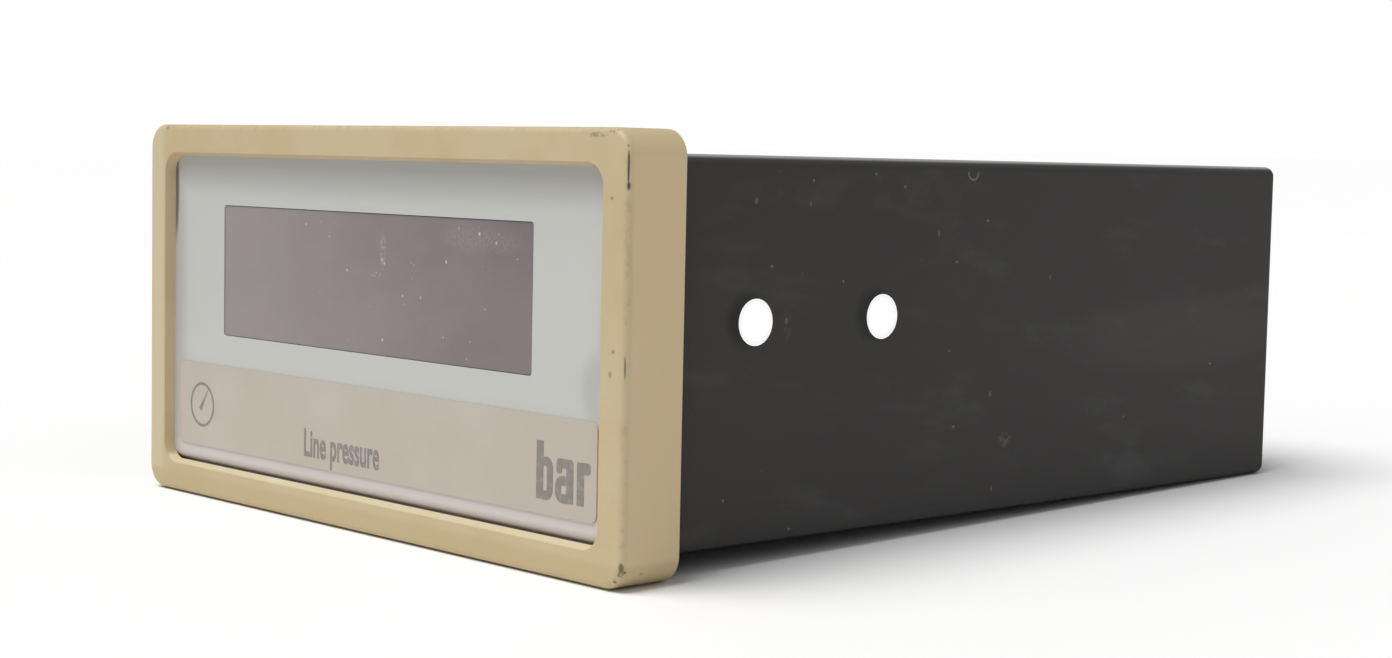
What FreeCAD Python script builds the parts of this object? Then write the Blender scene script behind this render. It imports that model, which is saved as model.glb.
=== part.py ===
import FreeCAD, Part
import os
import Sketcher

# A digital indicator for mounting in a panel, 96 x 48 mm front format.
# +X is to the right seen from the front, +Y goes back into the panel, +Z is up.
# The origin is the centre of the panel plane, which the rear of the flange rests on.

SIZES = {
    # front frame: the cream moulding round the front panel
    "bezel_width": 96.0,
    "bezel_height": 48.0,
    "bezel_depth": 8.35,
    "bezel_corner": 3.0,
    "bezel_arris": 0.7,
    "bezel_back_arris": 0.4,
    "opening_border_side": 3.9,
    "opening_border_edge": 3.6,
    "opening_corner": 2.6,
    "opening_draft": 0.45,
    "lip_depth": 1.3,
    # front panel, its window and legend strip
    "panel_overlap": 1.1,
    "panel_fit": 0.15,
    "panel_corner": 1.5,
    "panel_thickness": 1.8,
    "ledge_drop": -0.05,
    "ledge_recess": 1.3,
    "ledge_round": 1.25,
    "window_width": 62.8,
    "window_height": 16.7,
    "window_across": -0.15,
    "window_up": 5.43,
    "window_corner": 0.4,
    "filter_fit": 0.08,
    "filter_sink": 0.1,
    "filter_border": 1.5,
    "filter_border_thickness": 1.0,
    "legend_margin_left": 1.7,
    "legend_margin_right": 1.05,
    "legend_gap": 1.12,
    "legend_drop": 4.0,
    "legend_corner": 1.0,
    "legend_thickness": 0.2,
    # case shell
    "case_step_side": 2.5,
    "case_step_edge": 2.55,
    "case_length": 114.2,
    "case_wall": 2.0,
    "case_rear_wall": 2.5,
    "case_corner": 1.3,
    "bezel_rim": 0.85,
    "flange_depth": 3.0,
    "flange_corner": 2.2,
    "flange_fit": 0.15,
    # sockets for the pegs of the mounting clamps
    "socket_radius": 2.6,
    "socket_bore": 2.05,
    "socket_depth": 2.2,
    "socket_floor": 0.8,
    "socket_first": 12.8,
    "socket_pitch": 20.5,
    "socket_up": 3.2,
    "boss_wall": 1.2,
    # boards and the guides they slide in
    "board_thickness": 1.6,
    "board_lift": 6.45,
    "board_side_gap": 0.5,
    "tongue_length": 5.5,
    "tongue_root": 1.0,
    "guide_depth": 2.2,
    "guide_root": 0.25,
    "guide_thickness": 1.5,
    "guide_gap": 0.3,
    "guide_start": 14.0,
    "guide_end_gap": 12.6,
    "display_board_gap": 0.5,
    # LED digits and pillars between the display board and the front panel
    "digit_space": 0.2,
    "digit_pitch": 12.8,
    "digit_overlap": 0.4,
    "digit_depth": 8.0,
    "digit_gap": 0.5,
    "pillar_radius": 2.5,
    "pillar_tip_radius": 1.5,
    "pillar_play": 0.05,
    "pillar_end_gap": 0.25,
    "pillar_inset_side": 6.7,
    "pillar_inset_edge": 5.5,
    "pillar_boss_wall": 1.35,
    "pillar_boss_depth": 3.0,
    # trimmers on the display board
    "trimmer_size": 8.6,
    "trimmer_depth": 4.8,
    "trimmer_inset": 7.8,
    "zero_up": 7.2,
    "span_up": -3.4,
    "rotor_radius": 2.6,
    "rotor_well": 1.6,
    "rotor_play": 0.06,
    "rotor_proud": 0.4,
    "rotor_slot": 0.7,
    "rotor_slot_depth": 0.8,
    # terminal block behind the case
    "block_end": 2.4,
    "block_side_wall": 4.0,
    "block_height": 12.0,
    "block_fit": 0.2,
    "block_flange_side": 5.0,
    "block_flange_edge": 1.6,
    "block_flange_thickness": 2.0,
    "block_reach": 10.1,
    "block_base": 3.2,
    "terminal_count": 10.0,
    "terminal_pitch": 6.6,
    "divider_thickness": 1.2,
    "divider_height": 5.6,
    "divider_root": 0.5,
    "slot_clearance": 0.3,
    "slot_end_gap": 0.8,
    "spring_room": 2.0,
    "spring_width": 3.0,
    "spring_side_gap": 0.2,
    "spring_inset": 1.0,
    "spring_end_gap": 0.5,
    "spring_thickness": 0.4,
    "plate_thickness": 0.8,
    "plate_height": 8.0,
    "plate_side_gap": 0.15,
    "terminal_head_radius": 2.3,
    "terminal_head_height": 2.0,
    "terminal_shank_radius": 1.45,
    "terminal_shank_length": 4.6,
    "terminal_tip_gap": 0.3,
    "screw_play": 0.05,
    "block_screw_head_radius": 2.0,
    "block_screw_head_height": 1.6,
    "block_screw_shank_radius": 1.2,
    "block_screw_tip_gap": 0.1,
    "screw_root": 0.2,
    "screw_slot": 0.7,
    "screw_slot_depth": 0.8,
    # mains transformer
    "core_length": 36.0,
    "core_width": 16.0,
    "core_height": 27.0,
    "core_limb": 6.0,
    "core_window": 6.0,
    "core_yoke": 5.0,
    "core_inset": 17.5,
    "core_back": 72.0,
    "bobbin_gap": 0.15,
    "bobbin_wall": 0.8,
    "strap_thickness": 0.8,
    "strap_width": 10.0,
    "strap_foot": 6.5,
    "strap_screw_head_radius": 2.4,
    "strap_screw_head_height": 1.7,
    "winding_sink": 0.7,
    "winding_gap": 0.05,
    # power supply on the main board
    "reservoir_radius": 8.0,
    "reservoir_height": 25.0,
    "reservoir_across": 3.0,
    "reservoir_back": 87.0,
    "smoothing_radius": 4.0,
    "smoothing_height": 12.0,
    "smoothing_across": 26.4,
    "smoothing_back": 50.0,
    "smoothing_pitch": 10.0,
    "can_rim": 0.6,
    "rectifier_length": 15.0,
    "rectifier_width": 5.0,
    "rectifier_height": 11.0,
    "rectifier_across": 14.0,
    "rectifier_back": 92.0,
    "sink_length": 20.0,
    "sink_depth": 9.0,
    "sink_height": 22.0,
    "sink_thickness": 1.5,
    "sink_across": 12.0,
    "sink_back": 72.0,
    "regulator_width": 10.2,
    "regulator_height": 15.6,
    "regulator_tab": 1.3,
    "regulator_body": 4.5,
    "regulator_lift": 3.5,
    "regulator_slab": 9.4,
    "regulator_leg": 0.8,
    "regulator_leg_pitch": 2.54,
    "regulator_leg_back": 1.6,
    "regulator_leg_root": 0.5,
    "fuse_length": 20.0,
    "fuse_radius": 2.6,
    "fuse_cap": 5.0,
    "fuse_tube_sink": 0.2,
    "fuse_up": 4.2,
    "fuse_inset": 5.5,
    "fuse_back": 72.0,
    "clip_wall": 0.6,
    "clip_play": 0.05,
    "clip_inset": 0.6,
    "clip_grip": 1.55,
    "clip_under_inset": 0.3,
    # measuring circuit on the main board
    "converter_length": 52.0,
    "converter_width": 13.6,
    "converter_across": 6.0,
    "converter_back": 15.0,
    "socket_strip_width": 15.8,
    "socket_strip_height": 4.2,
    "chip_height": 3.6,
    "converter_end_gap": 0.3,
    "logic_width": 6.4,
    "logic_length": 19.4,
    "logic_inset": 12.0,
    "logic_back": 18.0,
    "logic_pitch": 25.0,
    "film_length": 13.0,
    "film_width": 5.0,
    "film_height": 11.0,
    "film_across": -12.0,
    "film_back": 16.0,
    "film_pitch": 9.0,
    "resistor_radius": 1.8,
    "resistor_length": 9.5,
    "resistor_inset": 9.0,
    "resistor_back": 16.0,
    "resistor_pitch": 6.0,
    # pieces between the boards
    "link_length": 60.0,
    "link_depth": 2.6,
    "link_height": 2.6,
    "bracket_inset": 6.5,
    "bracket_width": 7.0,
    "bracket_length": 8.0,
    "bracket_thickness": 1.0,
    "bracket_screw_radius": 2.2,
    "bracket_screw_height": 1.6,
    "bracket_screw_back": 4.8,
    # how far a cutting shape reaches past the face that it cuts
    "cut_margin": 1.0,
}

doc = FreeCAD.newDocument("PanelIndicator")
sheet = doc.addObject("Spreadsheet::Sheet", "sizes")
for row, (alias, value) in enumerate(SIZES.items(), start=1):
    sheet.set(f"A{row}", alias)
    sheet.set(f"B{row}", str(value))
    sheet.setAlias(f"B{row}", alias)
doc.recompute()

SUB_PARTS = []


# ---------------------------------------------------------------- helpers


def size(expression):
    """The value of an expression over the sheet's named sizes, in mm."""
    value = sheet.evalExpression(expression)
    return float(getattr(value, "Value", value))


def bind(item, **expressions):
    """Ties properties of an object to expressions; a double underscore stands for a dot."""
    for key, expression in expressions.items():
        item.setExpression(key.replace("__", "."), expression)


def sub_part(item, label):
    """Names a finished sub-part and lists it for export."""
    item.Label = label
    SUB_PARTS.append(item)
    return item


def new_body(label):
    """An empty body, listed as a sub-part."""
    return sub_part(doc.addObject("PartDesign::Body", "body_" + label), label)


def plane(body, role):
    """One of a body's own origin planes."""
    return next(item for item in body.Origin.OriginFeatures if item.Role == role)


def sketch_on(body, name, role, offset):
    """A sketch on an origin plane, moved along the plane's normal by an expression."""
    sketch = body.newObject("Sketcher::SketchObject", name)
    sketch.AttachmentSupport = [(plane(body, role), "")]
    sketch.MapMode = "FlatFace"
    sketch.setExpression("AttachmentOffset.Base.z", offset)
    return sketch


def constrain(sketch, kind, arguments, name, expression):
    """A dimension that follows an expression."""
    index = sketch.addConstraint(Sketcher.Constraint(kind, *arguments, size(expression)))
    sketch.renameConstraint(index, name)
    sketch.setExpression("Constraints." + name, expression)


def rectangle(sketch, width, height, across="0", up="0", radius=None):
    """A dimensioned rectangle, with round corners where a radius is given."""
    half_w, half_h = size(f"({width}) / 2"), size(f"({height}) / 2")
    mid_x, mid_y, r = size(across), size(up), size(radius) if radius else 0.0
    left, right, low, high = mid_x - half_w, mid_x + half_w, mid_y - half_h, mid_y + half_h
    runs = [((left + r, low), (right - r, low)), ((right, low + r), (right, high - r)),
            ((right - r, high), (left + r, high)), ((left, high - r), (left, low + r))]
    lines = [sketch.addGeometry(Part.LineSegment(FreeCAD.Vector(*a, 0), FreeCAD.Vector(*b, 0)))
             for a, b in runs]
    for line in (lines[0], lines[2]):
        sketch.addConstraint(Sketcher.Constraint("Horizontal", line))
    for line in (lines[1], lines[3]):
        sketch.addConstraint(Sketcher.Constraint("Vertical", line))
    if radius:
        centres = [(right - r, low + r), (right - r, high - r), (left + r, high - r), (left + r, low + r)]
        quarter = 1.5707963267948966
        arcs = []
        for turn, centre in enumerate(centres):
            circle = Part.Circle(FreeCAD.Vector(*centre, 0), FreeCAD.Vector(0, 0, 1), r)
            start = (turn - 1) * quarter
            arcs.append(sketch.addGeometry(Part.ArcOfCircle(circle, start, start + quarter)))
        for turn, arc in enumerate(arcs):
            following = lines[(turn + 1) % 4]
            sketch.addConstraint(Sketcher.Constraint("Tangent", lines[turn], 2, arc, 1))
            sketch.addConstraint(Sketcher.Constraint("Tangent", arc, 2, following, 1))
        for arc in arcs[1:]:
            sketch.addConstraint(Sketcher.Constraint("Equal", arcs[0], arc))
        constrain(sketch, "Radius", (arcs[0],), "radius", radius)
    else:
        for turn in range(4):
            following = lines[(turn + 1) % 4]
            sketch.addConstraint(Sketcher.Constraint("Coincident", lines[turn], 2, following, 1))
    constrain(sketch, "DistanceX", (lines[3], 1, lines[1], 1), "width", width)
    constrain(sketch, "DistanceY", (lines[0], 1, lines[2], 1), "height", height)
    constrain(sketch, "DistanceX", (-1, 1, lines[1], 1), "right", f"({across}) + ({width}) / 2")
    constrain(sketch, "DistanceY", (-1, 1, lines[2], 1), "top", f"({up}) + ({height}) / 2")


def front_sketch(body, name, at, width, height, across="0", up="0", radius=None):
    """A rectangle across the instrument, at a distance behind the panel plane."""
    sketch = sketch_on(body, name, "XZ_Plane", f"-({at})")
    rectangle(sketch, width, height, across, up, radius)
    return sketch


def pad_back(body, name, at, depth, width, height, across="0", up="0", radius=None):
    """Material from a plane across the instrument towards the rear."""
    pad = body.newObject("PartDesign::Pad", name)
    pad.Profile = front_sketch(body, name + "_outline", at, width, height, across, up, radius)
    pad.Reversed = True
    bind(pad, Length=depth)
    doc.recompute()
    return pad


def pocket_back(body, name, at, depth, width, height, across="0", up="0", radius=None, taper=None):
    """A pocket from a plane across the instrument towards the rear."""
    before = body.Shape.Volume
    pocket = body.newObject("PartDesign::Pocket", name)
    pocket.Profile = front_sketch(body, name + "_outline", at, width, height, across, up, radius)
    bind(pocket, Length=depth)
    if taper:
        bind(pocket, TaperAngle=taper)
    doc.recompute()
    if not body.Shape.Volume < before:
        raise RuntimeError(name + " cuts nothing")
    return pocket


def edges(item, test):
    """Names of the straight or curved edges whose bounding box passes a test."""
    return [f"Edge{index}" for index, edge in enumerate(item.Shape.Edges, start=1) if test(edge)]


def runs_back(edge):
    """True of an edge that runs from front to rear."""
    box = edge.BoundBox
    return box.YLength > 0.1 and box.XLength < 1e-4 and box.ZLength < 1e-4


def lies_at(edge, back):
    """True of an edge that lies in a plane across the instrument."""
    box = edge.BoundBox
    return abs(box.YMin - back) < 1e-4 and abs(box.YMax - back) < 1e-4


def round_edges(body, item, name, radius, test):
    """A fillet on the edges of the last feature that pass a test."""
    fillet = body.newObject("PartDesign::Fillet", name)
    fillet.Base = (item, edges(item, test))
    bind(fillet, Radius=radius)
    doc.recompute()
    return fillet


def box(name, length, width, height, across, back, up):
    """A box from its sizes and its lowest corner, all expressions."""
    item = doc.addObject("Part::Box", name)
    bind(item, Length=length, Width=width, Height=height)
    bind(item, Placement__Base__x=across, Placement__Base__y=back, Placement__Base__z=up)
    return item


TURNS = {
    "+Z": FreeCAD.Rotation(),
    "+Y": FreeCAD.Rotation(FreeCAD.Vector(1, 0, 0), -90),
    "-Y": FreeCAD.Rotation(FreeCAD.Vector(1, 0, 0), 90),
    "+X": FreeCAD.Rotation(FreeCAD.Vector(0, 1, 0), 90),
    "-X": FreeCAD.Rotation(FreeCAD.Vector(0, 1, 0), -90),
}


def cylinder(name, radius, height, across, back, up, way="+Z"):
    """A cylinder that starts at a point and runs one way."""
    item = doc.addObject("Part::Cylinder", name)
    item.Placement = FreeCAD.Placement(FreeCAD.Vector(), TURNS[way])
    bind(item, Radius=radius, Height=height)
    bind(item, Placement__Base__x=across, Placement__Base__y=back, Placement__Base__z=up)
    return item


def fuse(name, items):
    """Several shapes as one, or as a group of separate solids where they don't touch."""
    item = doc.addObject("Part::MultiFuse", name)
    item.Shapes = items
    return item


def cut(name, base, tool):
    """One shape less another."""
    item = doc.addObject("Part::Cut", name)
    item.Base = base
    item.Tool = tool
    return item


def group(name, items):
    """Separate solids kept side by side in one sub-part."""
    item = doc.addObject("Part::Compound", name)
    item.Links = items
    return item


# ---------------------------------------------------------------- places used by several pieces

FRONT = "-sizes.bezel_depth"
PANEL_FRONT = "(-sizes.bezel_depth + sizes.lip_depth)"
PANEL_REAR = f"({PANEL_FRONT} + sizes.panel_thickness)"
OPENING_WIDTH = "(sizes.bezel_width - 2 * sizes.opening_border_side)"
OPENING_HEIGHT = "(sizes.bezel_height - 2 * sizes.opening_border_edge)"
PANEL_WIDTH = f"({OPENING_WIDTH} + 2 * sizes.panel_overlap)"
PANEL_HEIGHT = f"({OPENING_HEIGHT} + 2 * sizes.panel_overlap)"
LEDGE_TOP = f"(-{OPENING_HEIGHT} / 2 + sizes.opening_draft + sizes.ledge_drop)"
LEGEND_TOP = "(sizes.window_up - sizes.window_height / 2 - sizes.legend_drop)"
LEGEND_LOW = f"({LEDGE_TOP} + sizes.ledge_round + sizes.legend_gap)"
PILLAR_ACROSS = f"({PANEL_WIDTH} / 2 - sizes.pillar_inset_side)"
PILLAR_UP = f"({PANEL_HEIGHT} / 2 - sizes.pillar_inset_edge)"
TRIMMER_ACROSS = f"({PANEL_WIDTH} / 2 - sizes.trimmer_inset)"
FILTER_REAR = f"({PANEL_REAR} + sizes.filter_border_thickness)"
DIGIT_FRONT = f"({FILTER_REAR} + sizes.digit_gap)"
DISPLAY_FRONT = f"({DIGIT_FRONT} + sizes.digit_depth)"
DISPLAY_REAR = f"({DISPLAY_FRONT} + sizes.board_thickness)"
CASE_WIDTH = "(sizes.bezel_width - 2 * sizes.case_step_side)"
CASE_HEIGHT = "(sizes.bezel_height - 2 * sizes.case_step_edge)"
FLANGE_WIDTH = "(sizes.bezel_width - 2 * sizes.bezel_rim - 2 * sizes.flange_fit)"
FLANGE_HEIGHT = "(sizes.bezel_height - 2 * sizes.bezel_rim - 2 * sizes.flange_fit)"
INNER_WIDTH = f"({CASE_WIDTH} - 2 * sizes.case_wall)"
INNER_HEIGHT = f"({CASE_HEIGHT} - 2 * sizes.case_wall)"
BOARD_WIDTH = f"({INNER_WIDTH} - 2 * sizes.board_side_gap)"
BOARD_EDGE = f"({BOARD_WIDTH} / 2)"
BOARD_LOW = f"(-{INNER_HEIGHT} / 2 + sizes.board_lift)"
BOARD_TOP = f"({BOARD_LOW} + sizes.board_thickness)"
CASE_REAR = "sizes.case_length"
SLOT_UP = f"({BOARD_LOW} + sizes.board_thickness / 2)"
BLOCK_WIDTH = "(sizes.terminal_count * sizes.terminal_pitch + sizes.divider_thickness + 2 * sizes.block_end)"
BLOCK_FRONT = f"({CASE_REAR} - sizes.block_reach)"
BLOCK_FACE = f"({CASE_REAR} + sizes.block_base)"
TONGUE_WIDTH = f"({BLOCK_WIDTH} - 2 * sizes.block_side_wall)"
BRACKET_ACROSS = f"({BOARD_EDGE} - sizes.bracket_inset)"
CORE_ACROSS = f"(sizes.core_inset - {BOARD_EDGE})"
FUSE_ACROSS = f"({BOARD_EDGE} - sizes.fuse_inset)"
LOGIC_ACROSS = f"({BOARD_EDGE} - sizes.logic_inset)"
RESISTOR_ACROSS = f"(sizes.resistor_inset - {BOARD_EDGE})"


# ---------------------------------------------------------------- front frame


def make_bezel_frame():
    """Moulded frame with a lip over the front panel and a rebate over the case flange."""
    body = new_body("bezel_frame")
    block = pad_back(body, "bezel_block", FRONT, "sizes.bezel_depth", "sizes.bezel_width",
                     "sizes.bezel_height")
    corners = round_edges(body, block, "bezel_corners", "sizes.bezel_corner", runs_back)
    front = size(FRONT)
    arris = round_edges(body, corners, "bezel_arris", "sizes.bezel_arris", lambda e: lies_at(e, front))
    round_edges(body, arris, "bezel_back_arris", "sizes.bezel_back_arris", lambda e: lies_at(e, 0.0))
    pocket_back(body, "bezel_opening", FRONT, "sizes.lip_depth", OPENING_WIDTH, OPENING_HEIGHT,
                radius="sizes.opening_corner", taper="-atan(sizes.opening_draft / sizes.lip_depth)")
    pocket_back(body, "panel_seat", PANEL_FRONT, "sizes.bezel_depth - sizes.lip_depth",
                f"{PANEL_WIDTH} + 2 * sizes.panel_fit", f"{PANEL_HEIGHT} + 2 * sizes.panel_fit",
                radius="sizes.panel_corner")
    pocket_back(body, "flange_rebate", "-sizes.flange_depth - sizes.flange_fit",
                "sizes.flange_depth + sizes.flange_fit",
                f"{FLANGE_WIDTH} + 2 * sizes.flange_fit", f"{FLANGE_HEIGHT} + 2 * sizes.flange_fit",
                radius="sizes.flange_corner + sizes.flange_fit")


def make_front_panel():
    """Light grey panel with a window, a rounded lower edge and four pillar sockets behind."""
    body = new_body("front_panel")
    panel_low = f"(-{PANEL_HEIGHT} / 2)"
    panel_high = f"({PANEL_HEIGHT} / 2)"
    pad_back(body, "panel_plate", PANEL_FRONT, "sizes.panel_thickness", PANEL_WIDTH,
             f"{panel_high} - {LEDGE_TOP}", "0", f"({panel_high} + {LEDGE_TOP}) / 2")
    ledge_front = f"({PANEL_FRONT} + sizes.ledge_recess)"
    plate = pad_back(body, "panel_ledge", ledge_front, "sizes.panel_thickness - sizes.ledge_recess",
                     PANEL_WIDTH,
                     f"{LEDGE_TOP} - {panel_low}", "0", f"({panel_low} + {LEDGE_TOP}) / 2")
    low_front = size(PANEL_FRONT)
    ledge_value = size(LEDGE_TOP)
    ledge = round_edges(body, plate, "ledge_round", "sizes.ledge_round",
                        lambda e: lies_at(e, low_front) and abs(e.BoundBox.ZMin - ledge_value) < 1e-4
                        and e.BoundBox.ZLength < 1e-4)
    round_edges(body, ledge, "panel_corners", "sizes.panel_corner",
                lambda e: runs_back(e) and abs(e.BoundBox.XMin) > size(f"{PANEL_WIDTH} / 2") - 1e-3
                and abs(e.BoundBox.ZMin) > size(f"{PANEL_HEIGHT} / 2") - 1e-3)
    pocket_back(body, "window", PANEL_FRONT, "sizes.panel_thickness", "sizes.window_width",
                "sizes.window_height",
                "sizes.window_across", "sizes.window_up", "sizes.window_corner")
    for side, across in (("left", f"-{PILLAR_ACROSS}"), ("right", PILLAR_ACROSS)):
        for level, up in (("low", f"-{PILLAR_UP}"), ("high", PILLAR_UP)):
            name = f"pillar_socket_{side}_{level}"
            round_boss(body, name, PANEL_REAR, across, up)


def circle_sketch(body, name, at, radius, across, up):
    """A dimensioned circle across the instrument."""
    sketch = sketch_on(body, name, "XZ_Plane", f"-({at})")
    centre = FreeCAD.Vector(size(across), size(up), 0)
    ring = sketch.addGeometry(Part.Circle(centre, FreeCAD.Vector(0, 0, 1), size(radius)))
    constrain(sketch, "Radius", (ring,), "radius", radius)
    for kind, word, expression in (("DistanceX", "across", across), ("DistanceY", "up", up)):
        if size(expression) > 0:
            constrain(sketch, kind, (-1, 1, ring, 3), word, expression)
        else:
            constrain(sketch, kind, (ring, 3, -1, 1), word, f"-({expression})")
    return sketch


def round_boss(body, name, at, across, up):
    """A round boss on the back of the front panel with a blind hole for a pillar's tip."""
    boss = body.newObject("PartDesign::Pad", name)
    boss.Profile = circle_sketch(body, name + "_outline", at,
                                 "sizes.pillar_tip_radius + sizes.pillar_play + sizes.pillar_boss_wall",
                                 across, up)
    boss.Reversed = True
    bind(boss, Length="sizes.pillar_boss_depth")
    doc.recompute()
    before = body.Shape.Volume
    hole = body.newObject("PartDesign::Pocket", name + "_hole")
    hole.Profile = circle_sketch(body, name + "_hole_outline", at,
                                 "sizes.pillar_tip_radius + sizes.pillar_play", across, up)
    bind(hole, Length="sizes.pillar_boss_depth")
    doc.recompute()
    if not body.Shape.Volume < before:
        raise RuntimeError(name + " has no hole")


def make_display_filter():
    """Tinted window pane with a border that seats behind the front panel."""
    body = new_body("display_filter")
    pane_front = f"({PANEL_FRONT} + sizes.filter_sink)"
    pad_back(body, "pane", pane_front, "sizes.panel_thickness - sizes.filter_sink",
             "sizes.window_width - 2 * sizes.filter_fit", "sizes.window_height - 2 * sizes.filter_fit",
             "sizes.window_across", "sizes.window_up", "sizes.window_corner")
    pad_back(body, "pane_border", PANEL_REAR, "sizes.filter_border_thickness",
             "sizes.window_width + 2 * sizes.filter_border", "sizes.window_height + 2 * sizes.filter_border",
             "sizes.window_across", "sizes.window_up", "sizes.window_corner")


def make_legend_strip():
    """Self-adhesive legend strip below the window."""
    body = new_body("legend_strip")
    margins = "(sizes.legend_margin_left + sizes.legend_margin_right)"
    pad_back(body, "strip", f"{PANEL_FRONT} - sizes.legend_thickness", "sizes.legend_thickness",
             f"{OPENING_WIDTH} - 2 * sizes.opening_draft - {margins}", f"{LEGEND_TOP} - {LEGEND_LOW}",
             "(sizes.legend_margin_left - sizes.legend_margin_right) / 2",
             f"({LEGEND_TOP} + {LEGEND_LOW}) / 2", "sizes.legend_corner")


# ---------------------------------------------------------------- case


def make_case_shell():
    """Moulded case: closed at the rear but for the terminal window, open at the front."""
    body = new_body("case_shell")
    block = pad_back(body, "case_block", "0", CASE_REAR, CASE_WIDTH, CASE_HEIGHT)
    long_edges = round_edges(body, block, "case_edges", "sizes.case_corner", runs_back)
    rear = size(CASE_REAR)
    round_edges(body, long_edges, "case_rear_edges", "sizes.case_corner", lambda e: lies_at(e, rear))
    pad_back(body, "flange", "-sizes.flange_depth", "sizes.flange_depth",
             FLANGE_WIDTH, FLANGE_HEIGHT, radius="sizes.flange_corner")
    pocket_back(body, "bay", "-sizes.flange_depth",
                "sizes.flange_depth + sizes.case_length - sizes.case_rear_wall", INNER_WIDTH, INNER_HEIGHT)
    pocket_back(body, "terminal_window", f"{CASE_REAR} - sizes.case_rear_wall - sizes.cut_margin",
                "sizes.case_rear_wall + 2 * sizes.cut_margin",
                f"{BLOCK_WIDTH} + 2 * sizes.block_fit", "sizes.block_height + 2 * sizes.block_fit",
                "0", SLOT_UP)
    guide_length = f"({CASE_REAR} - sizes.case_rear_wall - sizes.guide_start - sizes.guide_end_gap)"
    for side in (-1, 1):
        across = f"{side} * ({INNER_WIDTH} / 2 - sizes.guide_depth / 2 + sizes.guide_root)"
        word = "right" if side > 0 else "left"
        lower = f"({BOARD_LOW} - sizes.guide_gap - sizes.guide_thickness / 2)"
        upper = f"({BOARD_TOP} + sizes.guide_gap + sizes.guide_thickness / 2)"
        for level, up in (("lower", lower), ("upper", upper)):
            pad_back(body, f"guide_{word}_{level}", "sizes.guide_start", guide_length,
                     "sizes.guide_depth + 2 * sizes.guide_root", "sizes.guide_thickness", across, up)
        for order in range(2):
            socket_boss(body, f"boss_{word}_{order}", side, order)


def side_circle(body, name, side, order, offset, radius):
    """A circle on the side of the case, at one of the socket places."""
    sketch = sketch_on(body, name, "YZ_Plane", f"{side} * ({offset})")
    back = f"sizes.socket_first + {order} * sizes.socket_pitch"
    centre = FreeCAD.Vector(size(back), size("sizes.socket_up"), 0)
    ring = sketch.addGeometry(Part.Circle(centre, FreeCAD.Vector(0, 0, 1), size(radius)))
    constrain(sketch, "Radius", (ring,), "radius", radius)
    constrain(sketch, "DistanceX", (-1, 1, ring, 3), "back", back)
    constrain(sketch, "DistanceY", (-1, 1, ring, 3), "up", "sizes.socket_up")
    return sketch


SOCKET_LENGTH = "(sizes.socket_depth + sizes.socket_floor)"


def socket_boss(body, name, side, order):
    """Thicker wall round a clamp socket, and the round hole that the socket is pressed into."""
    boss = body.newObject("PartDesign::Pad", name)
    inner = f"{CASE_WIDTH} / 2 - {SOCKET_LENGTH}"
    boss.Profile = side_circle(body, name + "_outline", side, order, inner,
                               "sizes.socket_radius + sizes.boss_wall")
    boss.Reversed = side < 0
    bind(boss, Length=f"{SOCKET_LENGTH} - sizes.case_wall / 2")
    doc.recompute()
    before = body.Shape.Volume
    hole = body.newObject("PartDesign::Pocket", name + "_hole")
    hole.Profile = side_circle(body, name + "_hole_outline", side, order,
                               f"{CASE_WIDTH} / 2 + sizes.cut_margin",
                               "sizes.socket_radius")
    hole.Reversed = side < 0
    bind(hole, Length=f"{SOCKET_LENGTH} + 2 * sizes.cut_margin")
    doc.recompute()
    if not body.Shape.Volume < before:
        raise RuntimeError(name + " has no hole")


def make_clamp_sockets():
    """White cups, flush with the case's sides, for the pegs of the mounting clamps."""
    for side, word, way in ((-1, "left", "-X"), (1, "right", "+X")):
        for order, place in ((0, "front"), (1, "rear")):
            name = f"clamp_socket_{word}_{place}"
            back = f"sizes.socket_first + {order} * sizes.socket_pitch"
            floor = f"{side} * ({CASE_WIDTH} / 2 - {SOCKET_LENGTH})"
            cup = cylinder(name + "_cup", "sizes.socket_radius", SOCKET_LENGTH, floor, back,
                           "sizes.socket_up", way)
            start = f"{side} * ({CASE_WIDTH} / 2 - sizes.socket_depth)"
            bore = cylinder(name + "_bore", "sizes.socket_bore", "sizes.socket_depth + sizes.cut_margin",
                            start, back,
                            "sizes.socket_up", way)
            sub_part(cut(name, cup, bore), name)


# ---------------------------------------------------------------- terminal block on the case


def terminal_place(order):
    """Distance of a terminal from the middle of the block."""
    return f"(({order} - (sizes.terminal_count - 1) / 2) * sizes.terminal_pitch)"


TERMINALS = int(SIZES["terminal_count"])


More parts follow.
